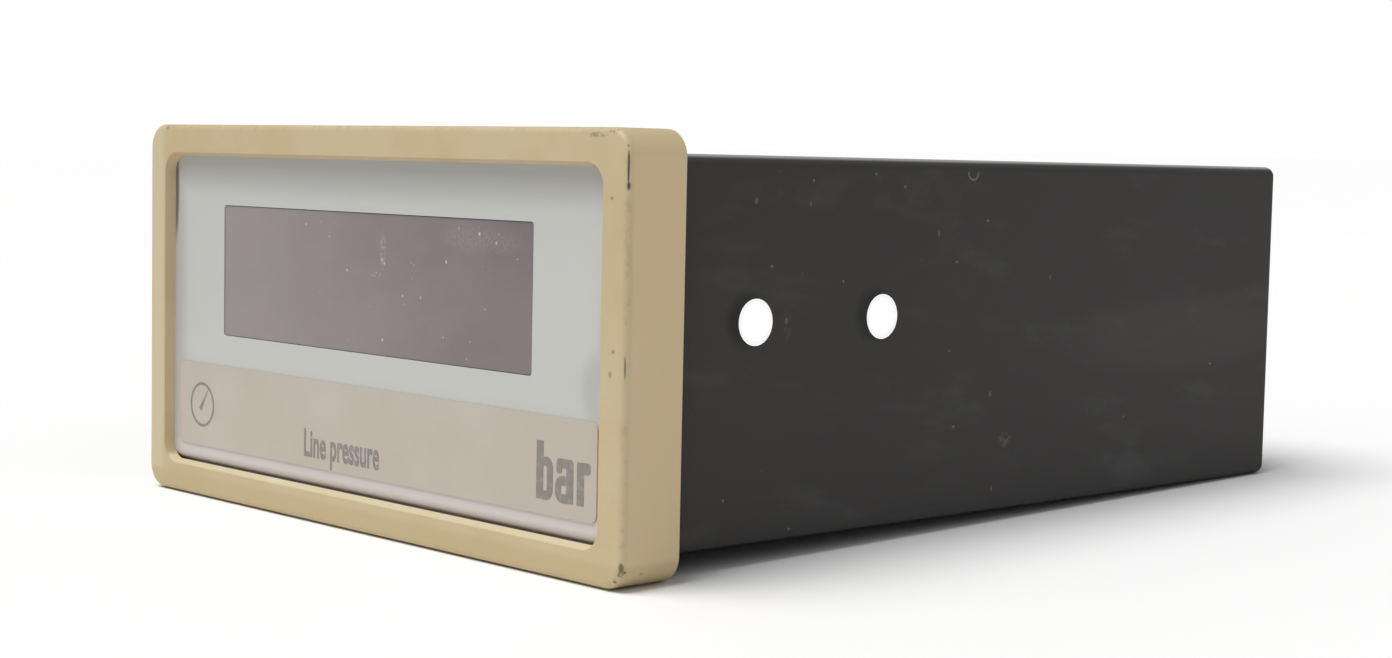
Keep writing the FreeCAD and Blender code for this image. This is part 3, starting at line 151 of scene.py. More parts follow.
class Graph:
    """The node tree of one material, with short ways to add to it."""

    def __init__(self, name: str) -> None:
        """Starts an empty material.

        Args:
            name: The material's name.
        """
        self.material = bpy.data.materials.new(name)
        self.material.use_nodes = True
        self.tree = self.material.node_tree
        self.tree.nodes.clear()
        coordinate = self.node("ShaderNodeTexCoord", {}, {})
        scaled = self.node("ShaderNodeVectorMath", {"operation": "SCALE"},
                           {"Vector": Field(self, coordinate.outputs["Object"]), "Scale": 1.0 / MM})
        self.place = Field(self, scaled.outputs["Vector"])
        parts = self.node("ShaderNodeSeparateXYZ", {}, {"Vector": self.place})
        self.x, self.y, self.z = (Field(self, parts.outputs[axis]) for axis in "XYZ")

    def node(self, kind: str, settings: dict[str, object],
             sockets: dict[str | int, object]) -> bpy.types.Node:
        """Adds a node.

        Args:
            kind: The node's type.
            settings: Properties that are set first.
            sockets: Input sockets by name or number, as values or as fields to link.

        Returns:
            The new node.
        """
        made = self.tree.nodes.new(kind)
        for key, value in settings.items():
            setattr(made, key, value)
        for key, value in sockets.items():
            if isinstance(value, Field):
                self.tree.links.new(value.socket, made.inputs[key])
            else:
                made.inputs[key].default_value = value
        return made

    def math(self, operation: str, first: Number, second: Number = 0.0) -> Field:
        """Adds a Math node for two numbers."""
        node = self.node("ShaderNodeMath", {"operation": operation}, {0: first, 1: second})
        return Field(self, node.outputs[0])

    def stretched(self, across: float, back: float, up: float, turn: float = 0.0) -> Field:
        """The place on the surface in mm, stretched so that a pattern becomes streaks.

        Args:
            across: Factor along X.
            back: Factor along Y.
            up: Factor along Z.
            turn: Turn about X in radians, before the stretch.

        Returns:
            A vector field.
        """
        mapped = self.node("ShaderNodeMapping", {"vector_type": "POINT"},
                           {"Vector": self.place, "Rotation": (turn, 0.0, 0.0), "Scale": (1.0, 1.0, 1.0)})
        scaled = self.node("ShaderNodeMapping", {"vector_type": "POINT"},
                           {"Vector": Field(self, mapped.outputs[0]), "Scale": (across, back, up)})
        return Field(self, scaled.outputs[0])

    def noise(self, scale: float, detail: float = 3.0, rough: float = 0.55,
              at: Field | None = None) -> Field:
        """Cloudy noise, from about 0.25 to 0.75.

        Args:
            scale: Features per millimetre.
            detail: Octaves.
            rough: Weight of the finer octaves.
            at: Place to read it at, if not the surface's own.

        Returns:
            A number field.
        """
        made = self.node("ShaderNodeTexNoise", {"noise_dimensions": "3D"},
                         {"Vector": at or self.place, "Scale": scale, "Detail": detail, "Roughness": rough})
        return Field(self, made.outputs["Fac"])

    def cells(self, scale: float, at: Field | None = None) -> Field:
        """Distance to the nearest of scattered points."""
        made = self.node("ShaderNodeTexVoronoi", {"feature": "F1"},
                         {"Vector": at or self.place, "Scale": scale, "Randomness": 1.0})
        return Field(self, made.outputs["Distance"])

    def specks(self, scale: float, size: float, share: float) -> Field:
        """Small scattered dots.

        Args:
            scale: Dots per millimetre.
            size: Radius of a dot, as a share of its cell.
            share: Share of the surface, from 0 to 1, that has dots at all.

        Returns:
            A mask from 0 to 1.
        """
        patchy = self.noise(scale * 0.31, 2.0).rise(1.0 - share, 1.04 - share)
        return self.cells(scale).rise(size, size * 0.55) * patchy

    def scratches(self, turn: float, length: float, share: float, across: float = 1.0) -> Field:
        """Fine short scratches along one direction in the YZ or XZ plane.

        Args:
            turn: Direction, as a turn about X in radians.
            length: Length of the longest scratches in mm.
            share: How much of the surface carries scratches.
            across: Factor along X, 0 for a pattern that is the same all the way through.

        Returns:
            A mask from 0 to 1.
        """
        lines = self.cells(1.0, at=self.stretched(across, 1.0 / length, 2.2, turn)).rise(0.055, 0.02)
        patchy = self.noise(0.16, 2.0).rise(1.0 - share, 1.1 - share)
        return lines * patchy

    def near(self, centre: Sequence[float], reach: Sequence[float]) -> Field:
        """A soft blob.

        Args:
            centre: Middle of the blob, mm.
            reach: Half-lengths along X, Y and Z at which it has faded out, mm.

        Returns:
            A mask, 1 in the middle and 0 outside.
        """
        total: Field | None = None
        for axis, middle, half in zip((self.x, self.y, self.z), centre, reach):
            square = ((axis - middle) * (1.0 / half)) ** 2.0
            total = square if total is None else total + square
        return total.rise(1.0, 0.2)

    def blend(self, first: "Field | Colour", second: "Field | Colour", amount: Number) -> Field:
        """Mixes two colours by an amount from 0 to 1."""
        def colour(value: "Field | Colour") -> object:
            """A link, or a colour with its alpha."""
            return value if isinstance(value, Field) else (*value, 1.0)

        node = self.node("ShaderNodeMix", {"data_type": "RGBA", "blend_type": "MIX", "clamp_result": True},
                         {0: amount, 6: colour(first), 7: colour(second)})
        return Field(self, node.outputs[2])

    def surface(self, base: "Field | Colour", rough: Number, height: Field | None = None,
                depth: float = 0.02, metallic: Number = 0.0, coat: Number = 0.0, alpha: Number = 1.0,
                strength: float = 0.6, ior: float = 1.46, glow: float = 0.0) -> bpy.types.Material:
        """Ends the graph in a Principled surface.

        Args:
            base: Base colour.
            rough: Roughness.
            height: Relief as a field from 0 to 1.
            depth: Height of the relief in mm.
            metallic: 0 for plastic, 1 for metal.
            coat: Weight of a clear coat.
            alpha: Opacity.
            strength: How strongly the relief bends the shading.
            ior: Index of refraction.
            glow: Emission that brightens the surface as painted light, though the part is no lamp.

        Returns:
            The finished material.
        """
        sockets: dict[str | int, object] = {
            "Base Color": base if isinstance(base, Field) else (*base, 1.0),
            "Roughness": rough, "Metallic": metallic, "Coat Weight": coat, "Alpha": alpha,
            "IOR": ior, "Coat Roughness": COAT_ROUGHNESS,
        }
        # Painted light: emission brightens the surface, though the part is no lamp.
        if glow:
            sockets["Emission Color"] = (1.0, 1.0, 0.99, 1.0)
            sockets["Emission Strength"] = glow
        if height is not None:
            bump = self.node("ShaderNodeBump", {},
                             {"Height": height, "Strength": strength, "Distance": depth * MM})
            sockets["Normal"] = Field(self, bump.outputs["Normal"])
        shader = self.node("ShaderNodeBsdfPrincipled", {}, sockets)
        self.node("ShaderNodeOutputMaterial", {}, {"Surface": Field(self, shader.outputs[0])})
        return self.material


# ------------------------------------------------------------------ finishes


@dataclass(frozen=True)
class Mark:
    """A local stain, nick or scuff, or a patch of painted shade.

    Attributes:
        centre: Middle, mm.
        reach: Half-lengths along X, Y and Z, mm.
        strength: How much of the mark's colour shows, from 0 to 1.
        grain: Features per mm that break the mark up; 0 leaves it whole.
    """

    centre: tuple[float, float, float]
    reach: tuple[float, float, float]
    strength: float = 1.0
    grain: float = 0.0

    def mask(self, graph: Graph) -> Field:
        """The mark as a mask from 0 to 1."""
        blob = graph.near(self.centre, self.reach) * self.strength
        if self.grain:
            blob = blob * graph.noise(self.grain, 4.0, 0.7).rise(0.44, 0.58)
        return blob


def union(masks: Sequence[Field]) -> Field:
    """The strongest of several masks at each place."""
    total = masks[0]
    for mask in masks[1:]:
        total = total.larger(mask)
    return total


@dataclass(frozen=True)
class AgedMoulding:
    """Satin cream plastic that has yellowed unevenly and picked up grime on its edges, with painted light
    on its right side, left rail and lower inner flank, and painted shade on its bottom rail.
    """

    name: str = "aged_cream_moulding"
    fresh: Colour = (0.572, 0.458, 0.278)
    yellowed: Colour = (0.538, 0.412, 0.232)
    grime: Colour = (0.10, 0.082, 0.06)
    # Painted light on the frame's right side.
    bleached: Colour = (0.665, 0.515, 0.300)
    # Painted light on the left rail.
    paler: Colour = (0.610, 0.520, 0.335)
    # Painted shade on the bottom rail.
    deeper: Colour = (0.498, 0.393, 0.213)
    # Painted highlight on the inner flank of the lower rail.
    lip: Colour = (0.660, 0.590, 0.410)
    half_width: float = 48.0
    half_height: float = 24.0
    front: float = -8.35
    marks: tuple[Mark, ...] = ()

    def build(self) -> bpy.types.Material:
        """Makes the material."""
        graph = Graph(self.name)
        clouds = graph.noise(0.05, 4.0, 0.6)
        base = graph.blend(self.fresh, self.yellowed, clouds.rise(0.38, 0.66))
        base = graph.blend(base, self.yellowed, graph.y.rise(self.front + 1.0, self.front + 4.0) * 0.4)
        outward = (abs(graph.x) - self.half_width).larger(abs(graph.z) - self.half_height)
        arris = outward.rise(-0.9, -0.15) * graph.y.rise(self.front + 1.0, self.front + 0.2)
        worn = arris * graph.noise(0.9, 4.0, 0.65).rise(0.50, 0.62)
        base = graph.blend(base, self.grime, worn * 0.13)
        dust = graph.specks(1.3, 0.075, 0.38)
        base = graph.blend(base, self.grime, dust * 0.35)
        rubbed = graph.noise(0.35, 5.0, 0.7, at=graph.stretched(0.25, 1.0, 1.0)).rise(0.58, 0.72)
        base = graph.blend(base, (0.66, 0.56, 0.38), rubbed * 0.22)
        # Painted light: the frame's right side is lightened.
        base = graph.blend(base, self.bleached, graph.x.rise(47.0, 47.9) * graph.y.rise(-8.0, -7.2) * 0.7)
        # Painted light: the left rail is kept lighter than the rest.
        base = graph.blend(base, self.paler, graph.x.rise(-43.6, -45.4) * 0.8)
        # Painted shade: the bottom rail and the faces below it are darkened.
        base = graph.blend(base, self.deeper, graph.z.rise(-20.9, -21.9) * 0.75)
        # Painted highlight: the inner flank of the lower rail is lightened where light from above falls on
        # it, broken up by the rubbed pattern.
        lip = graph.z.rise(-21.3, -20.9) * graph.z.rise(-19.2, -19.6) * graph.y.rise(-8.33, -8.0)
        lip = lip * abs(graph.x).rise(44.4, 43.4)
        base = graph.blend(base, self.lip, lip * (0.65 + rubbed * 0.35))
        if self.marks:
            base = graph.blend(base, self.grime, union([mark.mask(graph) for mark in self.marks]))
        rough = 0.42 + clouds * 0.12 + worn * 0.2 - rubbed * 0.08
        relief = graph.noise(2.4, 3.0, 0.6) * 0.6 + graph.noise(0.25, 2.0) * 0.4
        return graph.surface(base, rough, relief, 0.018, strength=0.5)


@dataclass(frozen=True)
class PanelPaint:
    """Fine matt light grey front panel with wipe smears and dust, painted shade under the top rail and
    along the left wall, and a pinkish tint lightened as painted light on the lower ledge and left edge.
    """

    name: str = "light_grey_panel"
    base: Colour = (0.525, 0.528, 0.503)
    # Colour of the smears and dark specks, and of the painted shade.
    smear: Colour = (0.355, 0.352, 0.335)
    # A pinkish tint, lighter than the panel as painted light.
    blush: Colour = (0.635, 0.585, 0.565)
    blush_low: float = -17.0
    blush_left: float = -42.0
    # Colour of the painted shade in the gap along the left wall.
    grime: Colour = (0.110, 0.092, 0.075)
    marks: tuple[Mark, ...] = ()

    def build(self) -> bpy.types.Material:
        """Makes the material."""
        graph = Graph(self.name)
        wiped = graph.noise(0.05, 4.0, 0.6, at=graph.stretched(0.35, 1.0, 1.0)).rise(0.35, 0.7)
        base = graph.blend(self.base, (0.555, 0.556, 0.530), wiped)
        # Pinkish tint with painted light on the lower ledge below the legend and, more faintly, along the
        # left edge.
        edges = union([graph.z.rise(self.blush_low, self.blush_low - 0.7),
                       graph.x.rise(self.blush_left, self.blush_left - 0.8) * 0.3])
        base = graph.blend(base, self.blush, edges)
        base = graph.blend(base, (0.68, 0.68, 0.66), graph.specks(1.8, 0.07, 0.38) * 0.5)
        base = graph.blend(base, self.smear, graph.specks(1.5, 0.05, 0.34) * 0.5)
        # Marks: smears, and painted shade under the top rail and along the left wall.
        if self.marks:
            base = graph.blend(base, self.smear, union([mark.mask(graph) for mark in self.marks]))
        # Painted shade: a dark line in the gap between the frame and the panel, along the left wall.
        base = graph.blend(base, self.grime, graph.near((-43.5, -7.0, 15.5), (0.9, 1.5, 7.5)) * 0.85)
        rough = 0.46 + wiped * 0.12
        return graph.surface(base, rough, graph.noise(5.0, 2.0), 0.006, strength=0.35)


@dataclass(frozen=True)
class SmokedPane:
    """Smoked acrylic, hazed by wiping, with dust and hairline scratches, and a painted reflection that
    lightens it towards the left.
    """

    name: str = "smoked_acrylic"
    base: Colour = (0.184, 0.150, 0.160)
    # Colour of the cloudy haze and of the painted reflection.
    haze: Colour = (0.42, 0.385, 0.375)
    alpha: float = 0.94
    marks: tuple[Mark, ...] = ()

    def build(self) -> bpy.types.Material:
        """Makes the material."""
        graph = Graph(self.name)
        cloud = graph.noise(0.045, 4.0, 0.65, at=graph.stretched(1.0, 1.0, 1.6)).rise(0.35, 0.72)
        # Painted reflection: the pane is lightened towards the left.
        painted_reflection = graph.x.rise(34.0, -34.0)
        haze = cloud * 0.16 + painted_reflection * 0.44
        base = graph.blend(self.base, self.haze, haze)
        fine = graph.scratches(0.5, 4.0, 0.42, 1.4) * 0.35
        dust = union([graph.specks(1.1, 0.11, 0.40), graph.specks(2.6, 0.13, 0.36),
                      graph.specks(0.45, 0.05, 0.45)])
        dots = union([mark.mask(graph) for mark in self.marks]) if self.marks else dust
        base = graph.blend(base, (0.72, 0.70, 0.68), union([fine, dust * 0.55, dots]))
        rough = 0.30 + cloud * 0.22 + dust * 0.3
        return graph.surface(base, rough, graph.noise(0.5, 3.0), 0.01, alpha=self.alpha, strength=0.25,
                             ior=1.49)


@dataclass(frozen=True)
class PrintedFilm:
    """Beige adhesive legend film with a faint paper-like mottle."""

    name: str = "beige_legend_film"
    base: Colour = (0.496, 0.434, 0.368)
    faded: Colour = (0.540, 0.482, 0.422)
    grime: Colour = (0.30, 0.27, 0.24)

    def build(self) -> bpy.types.Material:
        """Makes the material."""
        graph = Graph(self.name)
        mottle = graph.noise(0.06, 4.0, 0.6).rise(0.35, 0.7)
        base = graph.blend(self.base, self.faded, mottle)
        base = graph.blend(base, self.grime, graph.specks(1.2, 0.08, 0.38) * 0.45)
        base = graph.blend(base, (0.74, 0.71, 0.67), graph.scratches(1.3, 5.0, 0.34, 1.2) * 0.25)
        return graph.surface(base, 0.40 + mottle * 0.15, graph.noise(1.5, 3.0), 0.006, strength=0.3)


@dataclass(frozen=True)
class LegendInk:
    """Grey screen-printed ink, slightly worn."""

    name: str = "grey_legend_ink"
    base: Colour = (0.236, 0.220, 0.197)
    worn: Colour = (0.302, 0.281, 0.252)

    def build(self) -> bpy.types.Material:
        """Makes the material."""
        graph = Graph(self.name)
        wear = graph.noise(1.1, 4.0, 0.7).rise(0.46, 0.66)
        base = graph.blend(self.base, self.worn, wear)
        return graph.surface(base, 0.5 + wear * 0.1, graph.noise(6.0), 0.004)


@dataclass(frozen=True)
class CaseMoulding:
    """Black case plastic: fine texture, flow clouds, dust and light scratches, with painted shade beside
    the clamp sockets and a painted highlight along the top edges.
    """

    name: str = "black_case_moulding"
    base: Colour = (0.0335, 0.0312, 0.0302)
    # Lighter tone for rubbed patches, and for the painted highlight along the top.
    worn: Colour = (0.052, 0.0505, 0.049)
    # Colour of the painted highlight on the rounded top long edges.
    polished: Colour = (0.36, 0.355, 0.355)
    dust: Colour = (0.17, 0.165, 0.16)
    hook: tuple[float, float, float] = (48.9, 20.0, 0.9)
    # Places of the clamp sockets on the right side, round which painted shade is laid.
    socket_places: tuple[tuple[float, float], ...] = ()
    marks: tuple[Mark, ...] = ()

    def build(self) -> bpy.types.Material:
        """Makes the material."""
        graph = Graph(self.name)
        flow = graph.noise(0.05, 4.0, 0.6, at=graph.stretched(0.6, 0.45, 1.3)).rise(0.34, 0.70)
        base = graph.blend(self.base, (0.0395, 0.0368, 0.0355), flow)
        rub = graph.noise(0.11, 5.0, 0.62, at=graph.stretched(1.0, 0.5, 1.6, 0.1)).rise(0.52, 0.74)
        # Rubbed patches are real wear; the band along the top is a painted highlight.
        base = graph.blend(base, self.worn, union([rub * 0.45, graph.z.rise(20.0, 21.6) * 1.0]))
        # Painted highlight on the rounded top long edges.
        polished = graph.z.rise(21.0, 21.35) * abs(graph.x).rise(43.6, 44.2) * graph.y.rise(0.4, 1.2)
        base = graph.blend(base, self.polished, polished * 0.8)
        # Painted shade: a soft dark patch in front of and round each clamp socket.
        for back, up in self.socket_places:
            shade = graph.near((0.0, back - 1.3, up + 0.3), (400.0, 3.7, 3.7)) * 0.85
            base = graph.blend(base, (0.009, 0.0085, 0.0085), shade)
        fine = union([graph.scratches(0.35, 6.0, 0.36), graph.scratches(-0.9, 3.0, 0.33),
                      graph.scratches(1.9, 9.0, 0.30)])
        specks = union([graph.specks(0.55, 0.055, 0.42), graph.specks(1.6, 0.075, 0.40)])
        back, up, reach = self.hook
        turn = ((graph.y - back) ** 2.0 + (graph.z - up) ** 2.0) ** 0.5
        hook = (abs(turn - reach).rise(0.17, 0.08) * graph.z.rise(up + 0.25, up - 0.15)
                * graph.x.rise(45.0, 45.2))
        base = graph.blend(base, self.dust, union([fine * 0.30, specks * 0.45, hook * 0.7]))
        if self.marks:
            base = graph.blend(base, self.dust, union([mark.mask(graph) for mark in self.marks]))
        rough = 0.52 + flow * 0.08 - rub * 0.10 + specks * 0.2
        relief = graph.noise(3.2, 4.0, 0.65) * 0.7 + graph.cells(4.0) * 0.3
        return graph.surface(base, rough, relief, 0.03, strength=0.55, ior=1.33)


@dataclass(frozen=True)
class MottledPlastic:
    """Plain moulded plastic with a faint mottle, dust and fine relief."""

    name: str
    base: Colour
    second: Colour
    rough: float = 0.45
    mottle: float = 0.12
    grain: float = 2.5
    depth: float = 0.012
    dust: float = 0.3
    dust_colour: Colour = (0.5, 0.48, 0.45)
    coat: float = 0.0
    alpha: float = 1.0
    # Emission as painted light, for a part that is no lamp.
    glow: float = 0.0

    def build(self) -> bpy.types.Material:
        """Makes the material."""
        graph = Graph(self.name)
        clouds = graph.noise(self.mottle, 4.0, 0.6).rise(0.35, 0.68)
        base = graph.blend(self.base, self.second, clouds)
        specks = graph.specks(1.2, 0.08, 0.42)
        base = graph.blend(base, self.dust_colour, specks * self.dust)
        rough = self.rough + clouds * 0.1 + specks * 0.15
        return graph.surface(base, rough, graph.noise(self.grain, 3.0, 0.6), self.depth,
                             coat=self.coat, alpha=self.alpha, glow=self.glow)


@dataclass(frozen=True)
class WorkedMetal:
    """Plated, brushed or mill-finished metal with handling marks."""

    name: str
    base: Colour
    tarnish: Colour
    rough: float = 0.32
    streak: tuple[float, float, float] = (1.0, 0.08, 1.0)
    tarnish_share: float = 0.4

    def build(self) -> bpy.types.Material:
        """Makes the material."""
        graph = Graph(self.name)
        streaks = graph.noise(6.0, 3.0, 0.6, at=graph.stretched(*self.streak))
        patches = graph.noise(0.35, 4.0, 0.65).rise(0.72 - self.tarnish_share * 0.4,
                                                    0.86 - self.tarnish_share * 0.3)
        base = graph.blend(self.base, self.tarnish, patches * 0.7 + streaks * 0.15)
        rough = self.rough + patches * 0.22 + streaks * 0.1
        return graph.surface(base, rough, streaks, 0.006, metallic=1.0 - patches * 0.25)


@dataclass(frozen=True)
class CircuitBoard:
    """Glass-fibre board: green mask over copper tracks, tinned pads and a woven ground."""

    name: str = "green_circuit_board"
    mask: Colour = (0.022, 0.135, 0.050)
    track: Colour = (0.050, 0.250, 0.095)
    upright: bool = False
    grid: float = LEAD_PITCH / MM
    crossing_pitch: float = 12.7

    def build(self) -> bpy.types.Material:
        """Makes the material."""
        graph = Graph(self.name)
        across, along = (graph.x, graph.z) if self.upright else (graph.x, graph.y)
        wander = graph.noise(0.04, 1.0, 0.4)
        half = self.grid / 2
        lane = (across + (wander * 9.0 - (wander * 9.0) % half)) % self.grid
        lines = abs(lane - half).rise(0.55, 0.38)
        present = graph.cells(0.09, at=graph.stretched(1.0, 0.35, 0.35)).rise(0.30, 0.36)
        middle = abs((along % self.crossing_pitch) - self.crossing_pitch / 2)
        crossing = middle.rise(0.55, 0.35) * graph.cells(0.05).rise(0.42, 0.36)
        copper = union([lines * present, crossing])
        weave = graph.noise(1.8, 2.0)
        base = graph.blend(self.mask, self.track, copper)
        base = graph.blend(base, (0.03, 0.17, 0.06), weave.rise(0.4, 0.7) * 0.35)
        from_middle = [((way % self.grid) - half) ** 2.0 for way in (across, along)]
        pads = (from_middle[0] + from_middle[1]).rise(0.62, 0.42) * graph.cells(0.12).rise(0.50, 0.56)
        base = graph.blend(base, (0.50, 0.48, 0.42), pads)
        rough = 0.28 + pads * 0.22 + weave * 0.12
        relief = copper * 0.6 + pads * 0.4 + weave * 0.1
        return graph.surface(base, rough, relief, 0.035, metallic=pads * 0.85, coat=0.25)


@dataclass(frozen=True)
class Laminations:
    """Edge-on stack of varnished steel laminations."""

    name: str = "varnished_laminations"
    base: Colour = (0.15, 0.145, 0.14)
    gap: Colour = (0.03, 0.028, 0.026)
    pitch: float = 0.5

    def build(self) -> bpy.types.Material:
        """Makes the material."""
        graph = Graph(self.name)
        layer = abs((graph.x % self.pitch) - self.pitch * 0.5)
        line = layer.rise(0.14, 0.22)
        rust = graph.noise(0.4, 4.0, 0.65).rise(0.52, 0.68)
        base = graph.blend(self.base, self.gap, line)
        base = graph.blend(base, (0.18, 0.075, 0.03), rust * 0.4)
        return graph.surface(base, 0.42 + rust * 0.25, 1.0 - line, 0.05, metallic=0.75 - rust * 0.4)


@dataclass(frozen=True)
class StudioPaper:
    """Pale floor."""

    name: str = "studio_paper"
    base: Colour = (0.915, 0.915, 0.912)

    def build(self) -> bpy.types.Material:
        """Makes the material."""
        graph = Graph(self.name)
        return graph.surface(graph.blend(self.base, (0.935, 0.935, 0.932), graph.noise(0.02)), 0.85)


# ------------------------------------------------------------------ mesh helpers


def add_object(name: str, data: bpy.types.ID) -> bpy.types.Object:
    """Puts new data into the scene as an object."""
    made = bpy.data.objects.new(name, data)
    bpy.context.scene.collection.objects.link(made)
    return made


def mesh_data(name: str, mesh: bmesh.types.BMesh) -> bpy.types.Mesh:
    """Turns a finished mesh into mesh data, and frees it."""
    data = bpy.data.meshes.new(name)
    mesh.to_mesh(data)
    mesh.free()
    return data


def thicken(mesh: bmesh.types.BMesh, by: Sequence[float]) -> None:
    """Raises every face of a flat patch, with walls round it.

    Args:
        mesh: The patch.
        by: How far and which way, m.
    """
    lifted = bmesh.ops.extrude_face_region(mesh, geom=mesh.faces[:])
    raised = [item for item in lifted["geom"] if isinstance(item, bmesh.types.BMVert)]
    bmesh.ops.translate(mesh, vec=by, verts=raised)
    bmesh.ops.recalc_face_normals(mesh, faces=mesh.faces)


class Body(Enum):
    """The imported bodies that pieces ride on."""

    CASE = "case"
    CHASSIS = "chassis"
    FRONT = "front_frame"


@dataclass
class Workshop:
    """Makes meshes with bmesh operators and hands them over as finished pieces."""

    count: int = 0

    @staticmethod
    def slab(mesh: bmesh.types.BMesh, low: Sequence[float], high: Sequence[float],
             round_by: float = 0.0, steps: int = 2) -> None:
        """Adds a block with bevelled edges.

        Args:
            mesh: The mesh to add to.
            low: Lowest corner, m.
            high: Highest corner, m.
            round_by: Bevel of its edges, m.
            steps: Segments of the bevel.
        """
        span = Vector(high) - Vector(low)
        middle = (Vector(high) + Vector(low)) / 2
        placed = Matrix.Translation(middle) @ Matrix.Diagonal((*span, 1.0))
        made = bmesh.ops.create_cube(mesh, size=1.0, matrix=placed)
        if round_by:
            edges = {edge for vertex in made["verts"] for edge in vertex.link_edges}
            bmesh.ops.bevel(mesh, geom=list(edges), offset=round_by, segments=steps, affect="EDGES",
                            profile=0.5, material=-1)

    @staticmethod
    def lathe(mesh: bmesh.types.BMesh, profile: Sequence[tuple[float, float]], start: Sequence[float],
              axis: Sequence[float], steps: int = 32) -> None:
        """Adds a turned shape whose profile starts and ends on the axis.

        Args:
            mesh: The mesh to add to.
            profile: Radius and distance along the axis of each point, m.
            start: Place of distance 0 on the axis, m.
            axis: Direction of the axis.
            steps: Segments round the axis.
        """
        way = Vector(axis).normalized()
        side = way.orthogonal().normalized()
        origin = Vector(start)
        rim = [mesh.verts.new(origin + side * radius + way * along) for radius, along in profile]
        edges = [mesh.edges.new(pair) for pair in zip(rim[:-1], rim[1:])]
        bmesh.ops.spin(mesh, geom=rim + edges, cent=origin, axis=way, angle=2 * math.pi, steps=steps,
                       use_merge=True, use_duplicate=False)
        bmesh.ops.remove_doubles(mesh, verts=mesh.verts, dist=1e-7)
        bmesh.ops.recalc_face_normals(mesh, faces=mesh.faces)

    def piece(self, name: str, mesh: bmesh.types.BMesh, material: bpy.types.Material, body: Body,
              slot: str, smooth: bool = True) -> bpy.types.Object:
        """Turns a finished mesh into an object that rides on a body.

        Args:
            name: The piece's name.
            mesh: Its mesh, in place.
            material: Its finish.
            body: The body that it rides on.
            slot: Not used.
            smooth: Whether gently bent faces shade as one.

        Returns:
            The new object.
        """
        data = mesh_data(name, mesh)
        data.materials.append(material)
        made = add_object(name, data)
        if smooth:
            data.shade_smooth()
            data.set_sharp_from_angle(angle=SMOOTH_ANGLE)
        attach(made, body.value)
        self.count += 1
        LOG.info("made %s: %d faces", name, len(data.polygons))
        return made

    def lettering(self, name: str, words: str, height: float, stretch: float, weight: float,
                  at: Sequence[float], facing: float, material: bpy.types.Material, body: Body, slot: str,
                  thickness: float) -> bpy.types.Object:
        """Lettering as a thin closed mesh that stands on a surface.

        Args:
            name: The piece's name.
            words: What it says.
            height: Height of its capitals, m.
            stretch: Width against height, 1 for the font's own.
            weight: Swelling of the strokes, as a share of the height.
            at: Left end of the baseline on the surface, m.
            facing: Turn about Z in radians; 0 faces the front.
            material: Its finish.
            body: The body that it rides on.
            slot: Passed on to piece, which does not use it.
            thickness: How far it stands out, m.

        Returns:
            The new object.
        """
        curve = bpy.data.curves.new(name + "_curve", "FONT")
        curve.body = words
        curve.size = 1.0
        curve.offset = weight
        curve.extrude = 0.5
        curve.resolution_u = 4
        holder = add_object(name + "_curve", curve)
        data = bpy.data.meshes.new_from_object(holder.evaluated_get(bpy.context.evaluated_depsgraph_get()))
        bpy.data.objects.remove(holder)
        bpy.data.curves.remove(curve)
        mesh = bmesh.new()
        mesh.from_mesh(data)
        bpy.data.meshes.remove(data)
        bmesh.ops.remove_doubles(mesh, verts=mesh.verts, dist=1e-5)
        size = height / CAPITAL_SHARE
        placed = (Matrix.Translation(Vector(at)) @ Matrix.Rotation(facing, 4, "Z") @ UPRIGHT
                  @ Matrix.Diagonal((size * stretch, size, thickness, 1.0)))
        bmesh.ops.transform(mesh, matrix=placed, verts=mesh.verts)
        bmesh.ops.recalc_face_normals(mesh, faces=mesh.faces)
        return self.piece(name, mesh, material, body, slot, smooth=False)


def dress(nodes: Sequence[str], material: bpy.types.Material) -> None:
    """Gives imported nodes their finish.

    Args:
        nodes: Names of the nodes.
        material: The finish.
    """
    for name in nodes:
        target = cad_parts[name]
        for slot in target.material_slots:
            slot.material = material
        LOG.info("dressed %s in %s", name, material.name)


# ------------------------------------------------------------------ front frame


